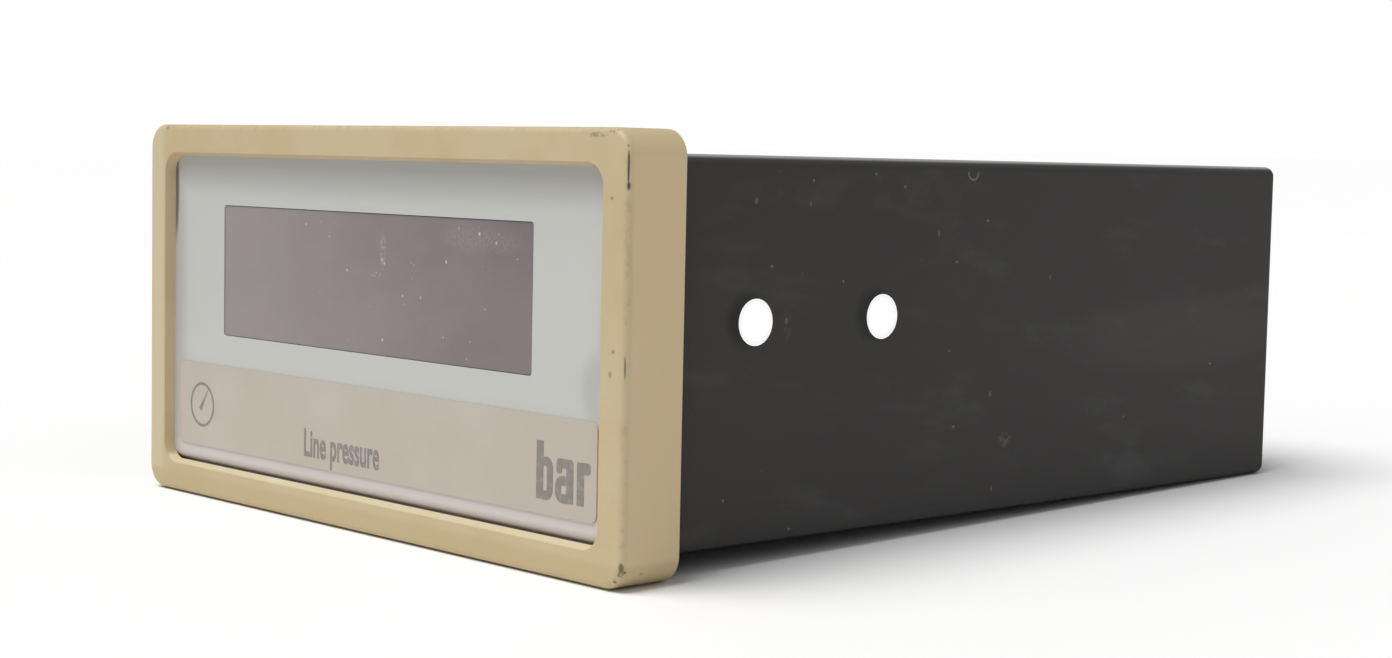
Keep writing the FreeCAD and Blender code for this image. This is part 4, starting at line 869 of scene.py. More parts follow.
@dataclass
class FrontFrame:
    """Cream frame, grey panel, smoked window and legend strip."""

    workshop: Workshop
    letter_lift: float = 0.02 * MM
    unit_left: float = 32.6 * MM
    unit_base: float = -16.0 * MM
    title_height: float = 3.3 * MM
    title_left: float = -12.7 * MM
    title_base: float = -16.3 * MM
    mark_middle: tuple[float, float] = (-36.4 * MM, -12.3 * MM)
    mark_radius: float = 2.9 * MM

    def moulding_marks(self) -> tuple[Mark, ...]:
        """Stains and nicks on the frame."""
        return (
            Mark((47.82, -8.18, 20.0), (0.17, 0.17, 2.9), 1.0),
            Mark((47.86, -8.14, 18.0), (0.26, 0.26, 0.55), 1.0),
            Mark((47.78, -8.20, 22.2), (0.32, 0.30, 0.30), 0.9),
            Mark((47.82, -8.18, -0.7), (0.15, 0.15, 1.6), 0.75),
            Mark((46.10, -8.35, 0.9), (0.28, 0.5, 0.30), 0.6),
            Mark((45.70, -8.35, -1.5), (0.30, 0.5, 0.42), 0.5),
            Mark((45.50, -8.35, 16.7), (0.25, 0.5, 0.25), 0.6),
            Mark((47.90, -8.10, -22.1), (0.75, 0.9, 0.55), 1.0, 1.6),
            Mark((47.75, -8.20, -21.5), (0.30, 0.6, 0.75), 0.8),
            Mark((46.90, -8.35, -23.0), (0.28, 0.5, 0.24), 0.8),
            Mark((48.00, -5.30, -22.4), (0.5, 0.45, 0.28), 0.8),
            Mark((48.00, -3.60, -22.7), (0.5, 0.7, 0.20), 0.5),
            Mark((48.00, -7.20, -22.9), (0.5, 0.7, 0.30), 0.5, 2.5),
            Mark((43.00, -8.30, 23.2), (1.9, 0.6, 0.35), 0.45, 1.5),
            Mark((45.90, -8.30, 23.6), (1.2, 0.6, 0.30), 0.55, 1.8),
            Mark((-43.60, -8.35, 23.6), (0.5, 0.5, 0.35), 0.4),
            Mark((-47.60, -8.10, -20.5), (0.4, 0.5, 1.8), 0.4, 1.8),
        )

    def pane_marks(self) -> tuple[Mark, ...]:
        """Grains of dust on the window."""
        face = -6.95
        places = ((-9.8, 12.4), (-7.9, 10.7), (3.0, 8.4), (3.5, 8.0), (2.0, 6.8), (7.2, 4.4), (10.7, 4.4),
                  (15.5, 8.7), (22.7, 3.8), (19.5, -2.0), (-4.1, 6.8), (21.6, 12.1), (2.9, 10.4),
                  (15.1, 0.1), (3.3, -1.0), (24.6, 11.2), (28.4, 9.6), (-12.9, 12.0), (17.8, 12.6))
        grains = [Mark((across, face, up), (0.11 + 0.05 * (order % 3), 1.0, 0.11 + 0.05 * (order % 4)),
                       0.45 + 0.12 * (order % 4)) for order, (across, up) in enumerate(places)]
        trails = [Mark((3.2, face, 9.6), (0.8, 1.0, 2.6), 0.20, 2.3),
                  Mark((2.0, face, 6.6), (2.0, 1.0, 0.4), 0.22, 1.9),
                  Mark((22.0, face, 11.4), (9.0, 1.0, 1.6), 0.08, 2.6)]
        return tuple(grains + trails)

    def panel_marks(self) -> tuple[Mark, ...]:
        """Smears along the right edge of the front panel, and painted shade under the top rail and along
        the left wall.
        """
        return (
            Mark((43.2, -7.0, -3.6), (4.4, 1.5, 5.2), 0.42),
            Mark((43.4, -7.0, -1.0), (1.6, 1.5, 11.0), 0.28),
            Mark((43.8, -7.0, 8.0), (1.3, 1.5, 15.0), 0.4),
            # Painted shade along the left wall.
            Mark((-44.2, -7.0, 2.0), (4.2, 1.5, 30.0), 0.5),
            # Painted shadow of the top rail across the panel's upper part.
            Mark((0.0, -7.0, 21.2), (150.0, 1.5, 6.8), 0.66),
        )

    def build(self) -> None:
        """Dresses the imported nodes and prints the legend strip."""
        dress(["bezel_frame"], AgedMoulding(marks=self.moulding_marks()).build())
        dress(["front_panel"], PanelPaint(marks=self.panel_marks()).build())
        dress(["display_filter"], SmokedPane(marks=self.pane_marks()).build())
        dress(["legend_strip"], PrintedFilm().build())
        ink = LegendInk().build()
        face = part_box("legend_strip")[0][1]
        self.unit_letters(ink, face)
        self.workshop.lettering("legend_title", "Line pressure", self.title_height, 0.62, 0.028,
                                (self.title_left, face, self.title_base), 0.0, ink, Body.FRONT,
                                "legend_film", self.letter_lift)
        self.gauge_mark(ink, face)

    def stroke(self, mesh: bmesh.types.BMesh, face: float, box: Sequence[float], corner: float,
               layer: int, open_by: float = 0.0) -> None:
        """Adds a flat rounded patch of ink, or a rounded ring, on the strip.

        Args:
            mesh: The mesh to add to.
            face: Y of the strip's printed face, m.
            box: Left, low, right and high edges from the left end of the baseline, mm.
            corner: Radius of its corners, mm.
            layer: Its order where strokes cross, from 0; each layer of ink is a little thicker.
            open_by: Width of the stroke if it is a ring, mm; 0 fills it.
        """
        left, low, right, high = (edge * MM for edge in box)
        patch = bmesh.new()
        bmesh.ops.create_grid(patch, x_segments=1, y_segments=1, size=0.5,
                              matrix=Matrix.Diagonal((right - left, high - low, 1.0, 1.0)))
        bmesh.ops.bevel(patch, geom=patch.verts[:], offset=corner * MM, segments=6, affect="VERTICES",
                        profile=0.5, material=-1)
        if open_by:
            inner = patch.faces[:]
            bmesh.ops.inset_region(patch, faces=inner, thickness=open_by * MM, use_even_offset=True,
                                   use_boundary=True)
            bmesh.ops.delete(patch, geom=inner, context="FACES_ONLY")
        thicken(patch, (0.0, 0.0, self.letter_lift * (1.0 + 0.2 * layer)))
        place = (self.unit_left + (left + right) / 2, face, self.unit_base + (low + high) / 2)
        bmesh.ops.transform(patch, matrix=Matrix.Translation(place) @ UPRIGHT, verts=patch.verts)
        data = mesh_data("stroke", patch)
        mesh.from_mesh(data)
        bpy.data.meshes.remove(data)

    def unit_letters(self, ink: bpy.types.Material, face: float) -> None:
        """The unit of pressure in heavy condensed letters, built stroke by stroke.

        Args:
            ink: The ink.
            face: Y of the strip's printed face, m.
        """
        mesh = bmesh.new()
        bowl, stem, tall, low_tall, square = 1.0, 1.18, 6.32, 4.66, 0.06
        self.stroke(mesh, face, (0.0, 0.0, stem, tall), square, 0)
        self.stroke(mesh, face, (0.0, -0.05, 2.80, low_tall), 1.20, 1, bowl)
        start = 3.2
        self.stroke(mesh, face, (start + 1.84, 0.0, start + 3.02, 4.0), square, 0)
        self.stroke(mesh, face, (start, -0.06, start + 2.88, 2.85), 1.15, 1, bowl)
        self.stroke(mesh, face, (start + 0.25, 3.72, start + 3.02, low_tall + 0.05), 0.44, 2)
        self.stroke(mesh, face, (start + 0.18, 3.12, start + 1.12, 4.45), 0.30, 3)
        start = 6.80
        self.stroke(mesh, face, (start, 0.0, start + stem, low_tall - 0.05), square, 0)
        self.stroke(mesh, face, (start + 0.6, 3.42, start + 2.2, low_tall - 0.02), 0.42, 1)
        self.workshop.piece("legend_unit", mesh, ink, Body.FRONT, "legend_film", smooth=False)

    def gauge_mark(self, ink: bpy.types.Material, face: float) -> None:
        """A plain printed dial: a ring and a pointer.

        Args:
            ink: The ink.
            face: Y of the strip's printed face, m.
        """
        mesh = bmesh.new()
        middle_x, middle_z = self.mark_middle
        hub = (middle_x, face, middle_z)
        placed = Matrix.Translation(hub) @ UPRIGHT
        rings = []
        for radius in (self.mark_radius, self.mark_radius * 0.88):
            made = bmesh.ops.create_circle(mesh, segments=48, radius=radius, matrix=placed)
            rings.append(list({edge for vertex in made["verts"] for edge in vertex.link_edges}))
        bmesh.ops.bridge_loops(mesh, edges=rings[0] + rings[1])
        thicken(mesh, (0.0, -self.letter_lift, 0.0))
        pointer = bmesh.ops.create_cone(mesh, cap_ends=True, segments=3, radius1=0.42 * MM,
                                        radius2=0.04 * MM, depth=self.mark_radius * 1.2)
        lean = Matrix.Rotation(math.radians(35.0), 4, "Y")
        flatten = Matrix.Diagonal((1.0, 0.02, 1.0, 1.0))
        rise = Matrix.Translation((0.0, 0.0, self.mark_radius * 0.3))
        placed = Matrix.Translation(hub) @ lean @ flatten @ rise
        bmesh.ops.transform(mesh, matrix=placed, verts=pointer["verts"])
        self.workshop.piece("legend_mark", mesh, ink, Body.FRONT, "legend_film", smooth=False)


# ------------------------------------------------------------------ case


@dataclass
class CaseAssembly:
    """Black case with its white clamp sockets and the terminal block behind."""

    workshop: Workshop
    sockets: tuple[str, ...] = ("clamp_socket_left_front", "clamp_socket_left_rear",
                                "clamp_socket_right_front", "clamp_socket_right_rear")
    number_height: float = 2.0 * MM
    number_stand: float = 0.12 * MM

    def case_marks(self) -> tuple[Mark, ...]:
        """Glints, scuffs and smears, most of them on the right side of the case."""
        side, reach = 45.5, 2.0
        glints = ((21.0, 16.2), (15.1, 9.3), (26.6, 7.4), (17.6, 3.2), (45.3, -1.3), (46.5, -10.5),
                  (54.0, -18.6), (18.7, -20.2), (8.4, -16.1), (53.2, -6.9), (80.5, -11.4), (99.6, -5.3),
                  (64.2, 7.1), (46.3, 9.3), (21.4, 18.8), (12.5, 16.5), (31.7, 19.6), (51.8, 14.2),
                  (42.9, 12.7), (36.7, 18.2))
        spots = [Mark((side, back, up), (reach, 0.20 + 0.12 * (order % 2), 0.20 + 0.25 * (order % 3 == 0)),
                      0.45 + 0.15 * (order % 3)) for order, (back, up) in enumerate(glints)]
        return tuple(spots) + (
            Mark((side, 56.2, -12.7), (reach, 1.5, 1.1), 0.40, 1.3),
            Mark((side, 17.6, 2.6), (reach, 1.0, 2.2), 0.12, 1.5),
            Mark((side, 92.0, -1.0), (reach, 30.0, 6.0), 0.075),
            Mark((side, 84.0, -2.6), (reach, 24.0, 3.2), 0.05, 0.12),
            Mark((side, 104.0, 1.0), (reach, 12.0, 4.0), 0.07, 0.1),
            Mark((side, 30.0, 17.6), (reach, 22.0, 2.6), 0.05, 0.2),
            Mark((-side, 70.0, 2.0), (reach, 24.0, 5.0), 0.06, 0.1),
            Mark((10.0, 60.0, 21.4), (30.0, 40.0, 2.0), 0.07, 0.12),
            Mark((-20.0, 90.0, 21.4), (12.0, 9.0, 2.0), 0.08, 0.25),
        )

    def build(self) -> None:
        """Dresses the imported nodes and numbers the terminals."""
        places = []
        # Places of the right-hand sockets, for the painted shade beside them.
        for name in self.sockets[2:]:
            low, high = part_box(name)
            places.append(((low[1] + high[1]) / 2 / MM, (low[2] + high[2]) / 2 / MM))
        dress(["case_shell"], CaseMoulding(socket_places=tuple(places), marks=self.case_marks()).build())
        # The clamp sockets get emission as painted light, so that they look brighter.
        dress(self.sockets, MottledPlastic("white_nylon", (0.88, 0.88, 0.875), (0.83, 0.83, 0.82), 0.5, 0.3,
                                           3.0, 0.008, 0.15, (0.5, 0.48, 0.44), glow=0.35).build())
        dress(["terminal_block"],
              MottledPlastic("black_phenolic", (0.020, 0.019, 0.018), (0.034, 0.032, 0.030),
                                                 0.38, 0.25, 3.0, 0.02, 0.4, (0.25, 0.24, 0.22)).build())
        dress(["terminal_screws", "block_screws"],
              WorkedMetal("zinc_plated_screws", (0.56, 0.55, 0.52), (0.38, 0.35, 0.28), 0.42).build())
        dress(["terminal_plates", "contact_springs"],
              WorkedMetal("tinned_brass", (0.66, 0.56, 0.34), (0.42, 0.33, 0.18), 0.44,
                          (0.2, 1.0, 1.0)).build())
        self.number_terminals()

    def number_terminals(self) -> None:
        """Stamped numbers in a row on the rear wall above the terminals."""
        raised = MottledPlastic("stamped_numbers", (0.50, 0.49, 0.46), (0.38, 0.37, 0.35), 0.5, 0.9,
                                3.0, 0.02, 0.5).build()
        low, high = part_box("terminal_plates")
        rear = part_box("case_shell")[1][1]
        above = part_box("terminal_block")[1][2] + 1.6 * MM
        pitch = (high[0] - low[0]) / TERMINALS
        for number in range(1, TERMINALS + 1):
            middle = high[0] - pitch * (number - 0.5)
            shift = 0.30 * self.number_height * len(str(number))
            self.workshop.lettering(f"terminal_number_{number}", str(number), self.number_height, 0.9, 0.0,
                                    (middle + shift, rear, above), math.pi, raised, Body.CASE,
                                    "black_plastic", self.number_stand)


# ------------------------------------------------------------------ insides


@dataclass(frozen=True)
class SleevedCan:
    """Shrink sleeve of an electrolytic capacitor with a paler stripe of minus signs."""

    name: str
    centre: tuple[float, float]
    radius: float
    base: Colour = (0.016, 0.024, 0.060)
    stripe: Colour = (0.46, 0.47, 0.48)

    def build(self) -> bpy.types.Material:
        """Makes the material."""
        graph = Graph(self.name)
        across, back = graph.x - self.centre[0] / MM, graph.y - self.centre[1] / MM
        reach = self.radius / MM
        band = across.rise(reach * 0.84, reach * 0.86)
        sign = (abs((graph.z % 4.0) - 2.0).rise(0.45, 0.38)) * abs(back).rise(reach * 0.30, reach * 0.27)
        shade = graph.noise(0.3, 3.0).rise(0.35, 0.7)
        base = graph.blend(self.base, (0.024, 0.034, 0.078), shade)
        base = graph.blend(base, self.stripe, band)
        base = graph.blend(base, self.base, band * sign)
        base = graph.blend(base, (0.3, 0.29, 0.27), graph.specks(1.3, 0.07, 0.42) * 0.4)
        return graph.surface(base, 0.30 + shade * 0.1, graph.noise(1.2, 3.0), 0.02, coat=0.35)


@dataclass(frozen=True)
class ScoredTop:
    """Bare aluminium end of a capacitor, scored with a cross."""

    name: str
    centre: tuple[float, float]

    def build(self) -> bpy.types.Material:
        """Makes the material."""
        graph = Graph(self.name)
        across, back = abs(graph.x - self.centre[0] / MM), abs(graph.y - self.centre[1] / MM)
        score = across.smaller(back).rise(0.16, 0.08)
        grain = graph.noise(5.0, 3.0)
        base = graph.blend((0.56, 0.56, 0.55), (0.18, 0.18, 0.18), score)
        return graph.surface(base, 0.48 + grain * 0.12, 1.0 - score, 0.12, metallic=0.95)


@dataclass(frozen=True)
class BandedLacquer:
    """Resistor lacquer with four colour bands; the multiplier's colour differs along the row."""

    name: str
    start: float
    length: float
    base: Colour = (0.52, 0.38, 0.22)

    def build(self) -> bpy.types.Material:
        """Makes the material."""
        graph = Graph(self.name)
        along = (graph.x - self.start / MM) * (MM / self.length)
        multiplier = graph.blend((0.42, 0.03, 0.02), (0.62, 0.28, 0.02), graph.y.rise(21.9, 22.1))
        multiplier = graph.blend(multiplier, (0.03, 0.16, 0.05), graph.y.rise(33.9, 34.1))
        clouds = graph.noise(0.7, 3.0).rise(0.35, 0.65)
        base = graph.blend(self.base, (0.58, 0.44, 0.27), clouds)
        bands = ((0.22, (0.16, 0.055, 0.02)), (0.36, (0.012, 0.012, 0.012)), (0.50, multiplier),
                 (0.72, (0.50, 0.34, 0.08)))
        for place, colour in bands:
            base = graph.blend(base, colour, abs(along - place).rise(0.052, 0.046))
        return graph.surface(base, 0.34, graph.noise(2.0, 3.0), 0.012, coat=0.3)


@dataclass(frozen=True)
class TapedWinding:
    """Winding wrapped in yellow polyester tape, its turns overlapping."""

    name: str = "yellow_winding_tape"

    def build(self) -> bpy.types.Material:
        """Makes the material."""
        graph = Graph(self.name)
        wander = graph.noise(0.25, 2.0)
        lap = ((graph.z + wander * 0.8 + graph.x * 0.02) % 3.4) * (1.0 / 3.4)
        edge = lap.rise(0.10, 0.02)
        base = graph.blend((0.66, 0.43, 0.055), (0.52, 0.31, 0.035), graph.noise(0.4, 4.0).rise(0.36, 0.66))
        base = graph.blend(base, (0.30, 0.17, 0.02), edge * 0.7)
        return graph.surface(base, 0.28 + wander * 0.12, lap * 0.8 + wander * 0.2, 0.06, coat=0.4)


@dataclass(frozen=True)
class TabbedRegulator:
    """Black epoxy body on a tinned tab, with tinned legs below."""

    tab_back: float
    body_low: float
    name: str = "tabbed_regulator"

    def build(self) -> bpy.types.Material:
        """Makes the material."""
        graph = Graph(self.name)
        metal = union([graph.y.rise(self.tab_back / MM + 0.03, self.tab_back / MM - 0.03),
                       graph.z.rise(self.body_low / MM + 0.03, self.body_low / MM - 0.03)])
        grain = graph.noise(3.0, 3.0)
        epoxy = graph.blend((0.018, 0.018, 0.018), (0.034, 0.034, 0.034), grain)
        base = graph.blend(epoxy, (0.62, 0.61, 0.58), metal)
        return graph.surface(base, 0.5 - metal * 0.2, grain, 0.012, metallic=metal)


@dataclass
class Boards:
    """Main board, display board and the small hardware that joins them."""

    workshop: Workshop
    finger_width: float = 3.0 * MM
    finger_height: float = 0.03 * MM
    segment_proud: float = 0.15 * MM
    segment_thick: float = 1.35 * MM
    slant: float = 0.14

    def build(self) -> None:
        """Dresses the boards and adds fingers and digits' segments."""
        dress(["main_board"], CircuitBoard().build())
        dress(["display_board"], CircuitBoard("green_display_board", upright=True).build())
        dress(["link_header"],
              MottledPlastic("header_moulding", (0.02, 0.02, 0.021), (0.035, 0.035, 0.036)).build())
        dress(["snap_pillars"],
              MottledPlastic("pillar_nylon", (0.74, 0.73, 0.68), (0.66, 0.64, 0.58), 0.38).build())
        dress(["corner_brackets", "bracket_screws"],
              WorkedMetal("zinc_brackets", (0.50, 0.49, 0.46), (0.36, 0.33, 0.27), 0.50).build())
        dress(["zero_trimmer", "span_trimmer"],
              MottledPlastic("trimmer_blue", (0.025, 0.085, 0.34), (0.035, 0.11, 0.40), 0.34,
                             coat=0.2).build())
        dress(["zero_rotor", "span_rotor"],
              MottledPlastic("rotor_white", (0.78, 0.77, 0.72), (0.70, 0.68, 0.62), 0.42).build())
        dress([f"led_digit_{order}" for order in range(1, 5)],
              MottledPlastic("digit_face", (0.040, 0.040, 0.043), (0.055, 0.055, 0.058), 0.5).build())
        self.fingers()
        self.segments()

    def fingers(self) -> None:
        """Gold contact fingers on the board's tongue, one to a terminal."""
        mesh = bmesh.new()
        low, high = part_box("terminal_plates")
        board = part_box("main_board")[1]
        pitch = (high[0] - low[0]) / TERMINALS
        for order in range(TERMINALS):
            middle = low[0] + pitch * (order + 0.5)
            Workshop.slab(mesh, (middle - self.finger_width / 2, board[1] - 5.2 * MM, board[2]),
                          (middle + self.finger_width / 2, board[1] - 0.3 * MM,
                           board[2] + self.finger_height))
        gold = WorkedMetal("gold_fingers", (0.83, 0.60, 0.22), (0.60, 0.40, 0.14), 0.26).build()
        self.workshop.piece("gold_fingers", mesh, gold, Body.CHASSIS, "brass_plate")

    def segments(self) -> None:
        """Seven bars and a point on each digit."""
        lens = MottledPlastic("unlit_segment", (0.26, 0.085, 0.080), (0.32, 0.11, 0.10), 0.35,
                              coat=0.3).build()
        half_width, half_height = 3.4 * MM, 6.5 * MM
        for order in range(1, 5):
            low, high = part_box(f"led_digit_{order}")
            middle = (Vector(low) + Vector(high)) / 2
            mesh = bmesh.new()
            for across, up, upright in ((0, 1, False), (0, 0, False), (0, -1, False), (-1, 0.5, True),
                                        (1, 0.5, True), (-1, -0.5, True), (1, -0.5, True)):
                length = (half_height if upright else 2 * half_width) - self.segment_thick
                self.bar(mesh, across * half_width, up * half_height, length, upright)
            point = bmesh.ops.create_cone(mesh, cap_ends=True, segments=20, radius1=0.8 * MM,
                                          radius2=0.74 * MM, depth=2 * self.segment_proud)
            placed = Matrix.Translation((half_width + 1.55 * MM, 0.0, -half_height)) @ UPRIGHT
            bmesh.ops.transform(mesh, matrix=placed, verts=point["verts"])
            lean = Matrix.Identity(4)
            lean[0][2] = self.slant
            placed = Matrix.Translation((middle[0] - 0.5 * MM, low[1], middle[2])) @ lean
            bmesh.ops.transform(mesh, matrix=placed, verts=mesh.verts)
            self.workshop.piece(f"digit_segments_{order}", mesh, lens, Body.CHASSIS, "led_grey",
                                smooth=False)

    def bar(self, mesh: bmesh.types.BMesh, across: float, up: float, length: float, upright: bool) -> None:
        """One six-sided bar of a digit, round its middle.

        Args:
            mesh: The mesh to add to.
            across: Its middle, from the digit's middle, m.
            up: Its middle, above the digit's middle, m.
            length: Its length, m.
            upright: Whether it stands.
        """
        made = bmesh.ops.create_cone(mesh, cap_ends=True, segments=6, radius1=1.0, radius2=0.96, depth=1.0)
        for vertex in made["verts"]:
            side = math.copysign(1.0, vertex.co.x)
            pointed = abs(vertex.co.y) < 0.1
            vertex.co.x = side * (length / 2 if pointed else length / 2 - self.segment_thick * 0.42)
            vertex.co.y = 0.0 if pointed else math.copysign(self.segment_thick * 0.42, vertex.co.y)
            vertex.co.z *= 2 * self.segment_proud
        turn = UPRIGHT @ Matrix.Rotation(math.radians(90.0 * upright), 4, "Z")
        bmesh.ops.transform(mesh, matrix=Matrix.Translation((across, 0.0, up)) @ turn, verts=made["verts"])

    def solder(self, places: Sequence[tuple[float, float]]) -> None:
        """Solder joints with clipped leads below the main board.

        Args:
            places: Their places across and back, m.
        """
        mesh = bmesh.new()
        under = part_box("main_board")[0][2]
        flip = Matrix.Rotation(math.pi, 4, "X")
        for across, back in places:
            for wide, tip, depth in ((0.85, 0.32, 0.55), (0.28, 0.24, 0.95)):
                made = bmesh.ops.create_cone(mesh, cap_ends=True, segments=8, radius1=wide * MM,
                                             radius2=tip * MM, depth=depth * MM)
                place = Matrix.Translation((across, back, under - depth * MM / 2)) @ flip
                bmesh.ops.transform(mesh, matrix=place, verts=made["verts"])
        tin = WorkedMetal("solder", (0.56, 0.56, 0.54), (0.40, 0.39, 0.36), 0.42, (1.0, 1.0, 1.0)).build()
        self.workshop.piece("solder_joints", mesh, tin, Body.CHASSIS, "plated_steel")


@dataclass
class PowerSupply:
    """Transformer, capacitors, rectifier, regulator on its heat sink, and the fuse in its clips."""

    workshop: Workshop
    groove: float = 0.55 * MM

    def build(self) -> list[tuple[float, float]]:
        """Dresses and models the supply.

        Returns:
            Places of its solder joints, m.
        """
        dress(["transformer_core"], Laminations().build())
        dress(["transformer_bobbin"],
              MottledPlastic("bobbin_nylon", (0.60, 0.58, 0.50), (0.52, 0.50, 0.42), 0.42).build())
        dress(["transformer_winding"], TapedWinding().build())
        dress(["transformer_strap", "strap_screws", "fuse_clips"],
              WorkedMetal("zinc_strap", (0.50, 0.49, 0.46), (0.37, 0.33, 0.25), 0.50).build())
        dress(["heat_sink"], WorkedMetal("mill_aluminium", (0.58, 0.58, 0.59), (0.46, 0.46, 0.46), 0.52,
                                         (0.1, 1.0, 1.0), 0.2).build())
        dress(["bridge_rectifier"],
              MottledPlastic("rectifier_epoxy", (0.020, 0.020, 0.021), (0.036, 0.036, 0.037),
                                                   0.46, grain=3.5).build())
        low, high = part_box("voltage_regulator")
        dress(["voltage_regulator"], TabbedRegulator(low[1] + 1.3 * MM, low[2] + 3.5 * MM).build())
        low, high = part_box("reservoir_capacitor")
        places = self.can("reservoir", low, high, ("reservoir_capacitor",))
        low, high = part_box("smoothing_capacitors")
        width = high[0] - low[0]
        first = (low, (high[0], low[1] + width, high[2]))
        second = ((low[0], high[1] - width, low[2]), high)
        places += self.can("smoothing_front", *first, ("smoothing_capacitors",))
        places += self.can("smoothing_rear", *second, ("smoothing_capacitors",))
        self.fuse()
        low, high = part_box("bridge_rectifier")
        places += [(low[0] + (order + 0.5) * (high[0] - low[0]) / 4, (low[1] + high[1]) / 2)
                   for order in range(4)]
        low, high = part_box("voltage_regulator")
        places += [((low[0] + high[0]) / 2 + order * LEAD_PITCH, low[1] + 2.0 * MM) for order in (-1, 0, 1)]
        low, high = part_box("transformer_bobbin")
        places += [(x, low[1] + (order + 0.5) * (high[1] - low[1]) / 5)
                   for x in (low[0] + 1.5 * MM, high[0] - 1.5 * MM) for order in range(5)]
        return places

    def can(self, name: str, low: Sequence[float], high: Sequence[float],
            stands_for: Sequence[str]) -> list[tuple[float, float]]:
        """A sleeved can with a rolled groove, and its scored top.

        Args:
            name: Name of the capacitor.
            low: Lowest corner of its space, m.
            high: Highest corner of its space, m.
            stands_for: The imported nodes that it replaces.

        Returns:
            Places of its two leads, m.
        """
        radius, tall = (high[0] - low[0]) / 2, high[2] - low[2]
        centre = ((low[0] + high[0]) / 2, (low[1] + high[1]) / 2)
        base, lip, groove = (*centre, low[2]), 0.12 * radius, self.groove * radius / (8 * MM)
        waist = 0.30 * radius
        profile = [(0.0, 0.0), (radius - lip, 0.0), (radius, lip), (radius, waist),
                   (radius - groove, waist * 1.35), (radius, waist * 1.7), (radius, tall - lip),
                   (radius - lip, tall), (radius * 0.80, tall), (radius * 0.78, tall - lip * 0.4),
                   (0.0, tall - lip * 0.4)]
        mesh = bmesh.new()
        Workshop.lathe(mesh, profile, base, UP, 40)
        sleeve = SleevedCan(name + "_sleeve", centre, radius).build()
        made = self.workshop.piece(name + "_sleeve", mesh, sleeve, Body.CHASSIS, "capacitor_sleeve")
        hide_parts(*stands_for)
        mesh = bmesh.new()
        top = tall - lip * 0.45
        Workshop.lathe(mesh, [(0.0, top), (radius * 0.775, top), (radius * 0.76, top + lip * 0.3),
                              (0.0, top + lip * 0.36)], base, UP, 40)
        self.workshop.piece(name + "_top", mesh, ScoredTop(name + "_top", centre).build(), Body.CHASSIS,
                            "sink_aluminium")
        spread = radius * 0.42
        return [(centre[0] - spread, centre[1]), (centre[0] + spread, centre[1])]

    def fuse(self) -> None:
        """Glass tube with its wire, and the two end caps."""
        low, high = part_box("mains_fuse")
        radius, long = (high[0] - low[0]) / 2, high[1] - low[1]
        start = ((low[0] + high[0]) / 2, low[1], (low[2] + high[2]) / 2)
        cap = 5.0 * MM
        mesh = bmesh.new()
        inner = radius - 0.2 * MM
        Workshop.lathe(mesh,
                       [(0.0, cap - 0.3 * MM), (inner, cap - 0.2 * MM), (inner, long - cap + 0.2 * MM),
                              (0.0, long - cap + 0.3 * MM)], start, BACK, 32)
        glass = MottledPlastic("fuse_glass", (0.78, 0.84, 0.80), (0.72, 0.80, 0.76), 0.08, coat=0.6,
                               alpha=0.32).build()
        made = self.workshop.piece("fuse_tube", mesh, glass, Body.CHASSIS, "fuse_glass")
        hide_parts("mains_fuse")
        mesh = bmesh.new()
        for turned in (False, True):
            profile = [(0.0, 0.0), (radius - 0.4 * MM, 0.0), (radius, 0.4 * MM), (radius, cap - 0.25 * MM),
                       (radius - 0.12 * MM, cap), (0.0, cap)]
            way, origin = (FORWARD, (start[0], high[1], start[2])) if turned else (BACK, start)
            Workshop.lathe(mesh, profile, origin, way, 32)
        Workshop.lathe(mesh, [(0.0, cap), (0.12 * MM, cap), (0.12 * MM, long - cap), (0.0, long - cap)],
                       start, BACK, 8)
        nickel = WorkedMetal("nickel_caps", (0.64, 0.62, 0.58), (0.46, 0.43, 0.36), 0.36,
                             (1.0, 1.0, 0.1)).build()
        self.workshop.piece("fuse_caps", mesh, nickel, Body.CHASSIS, "plated_steel")


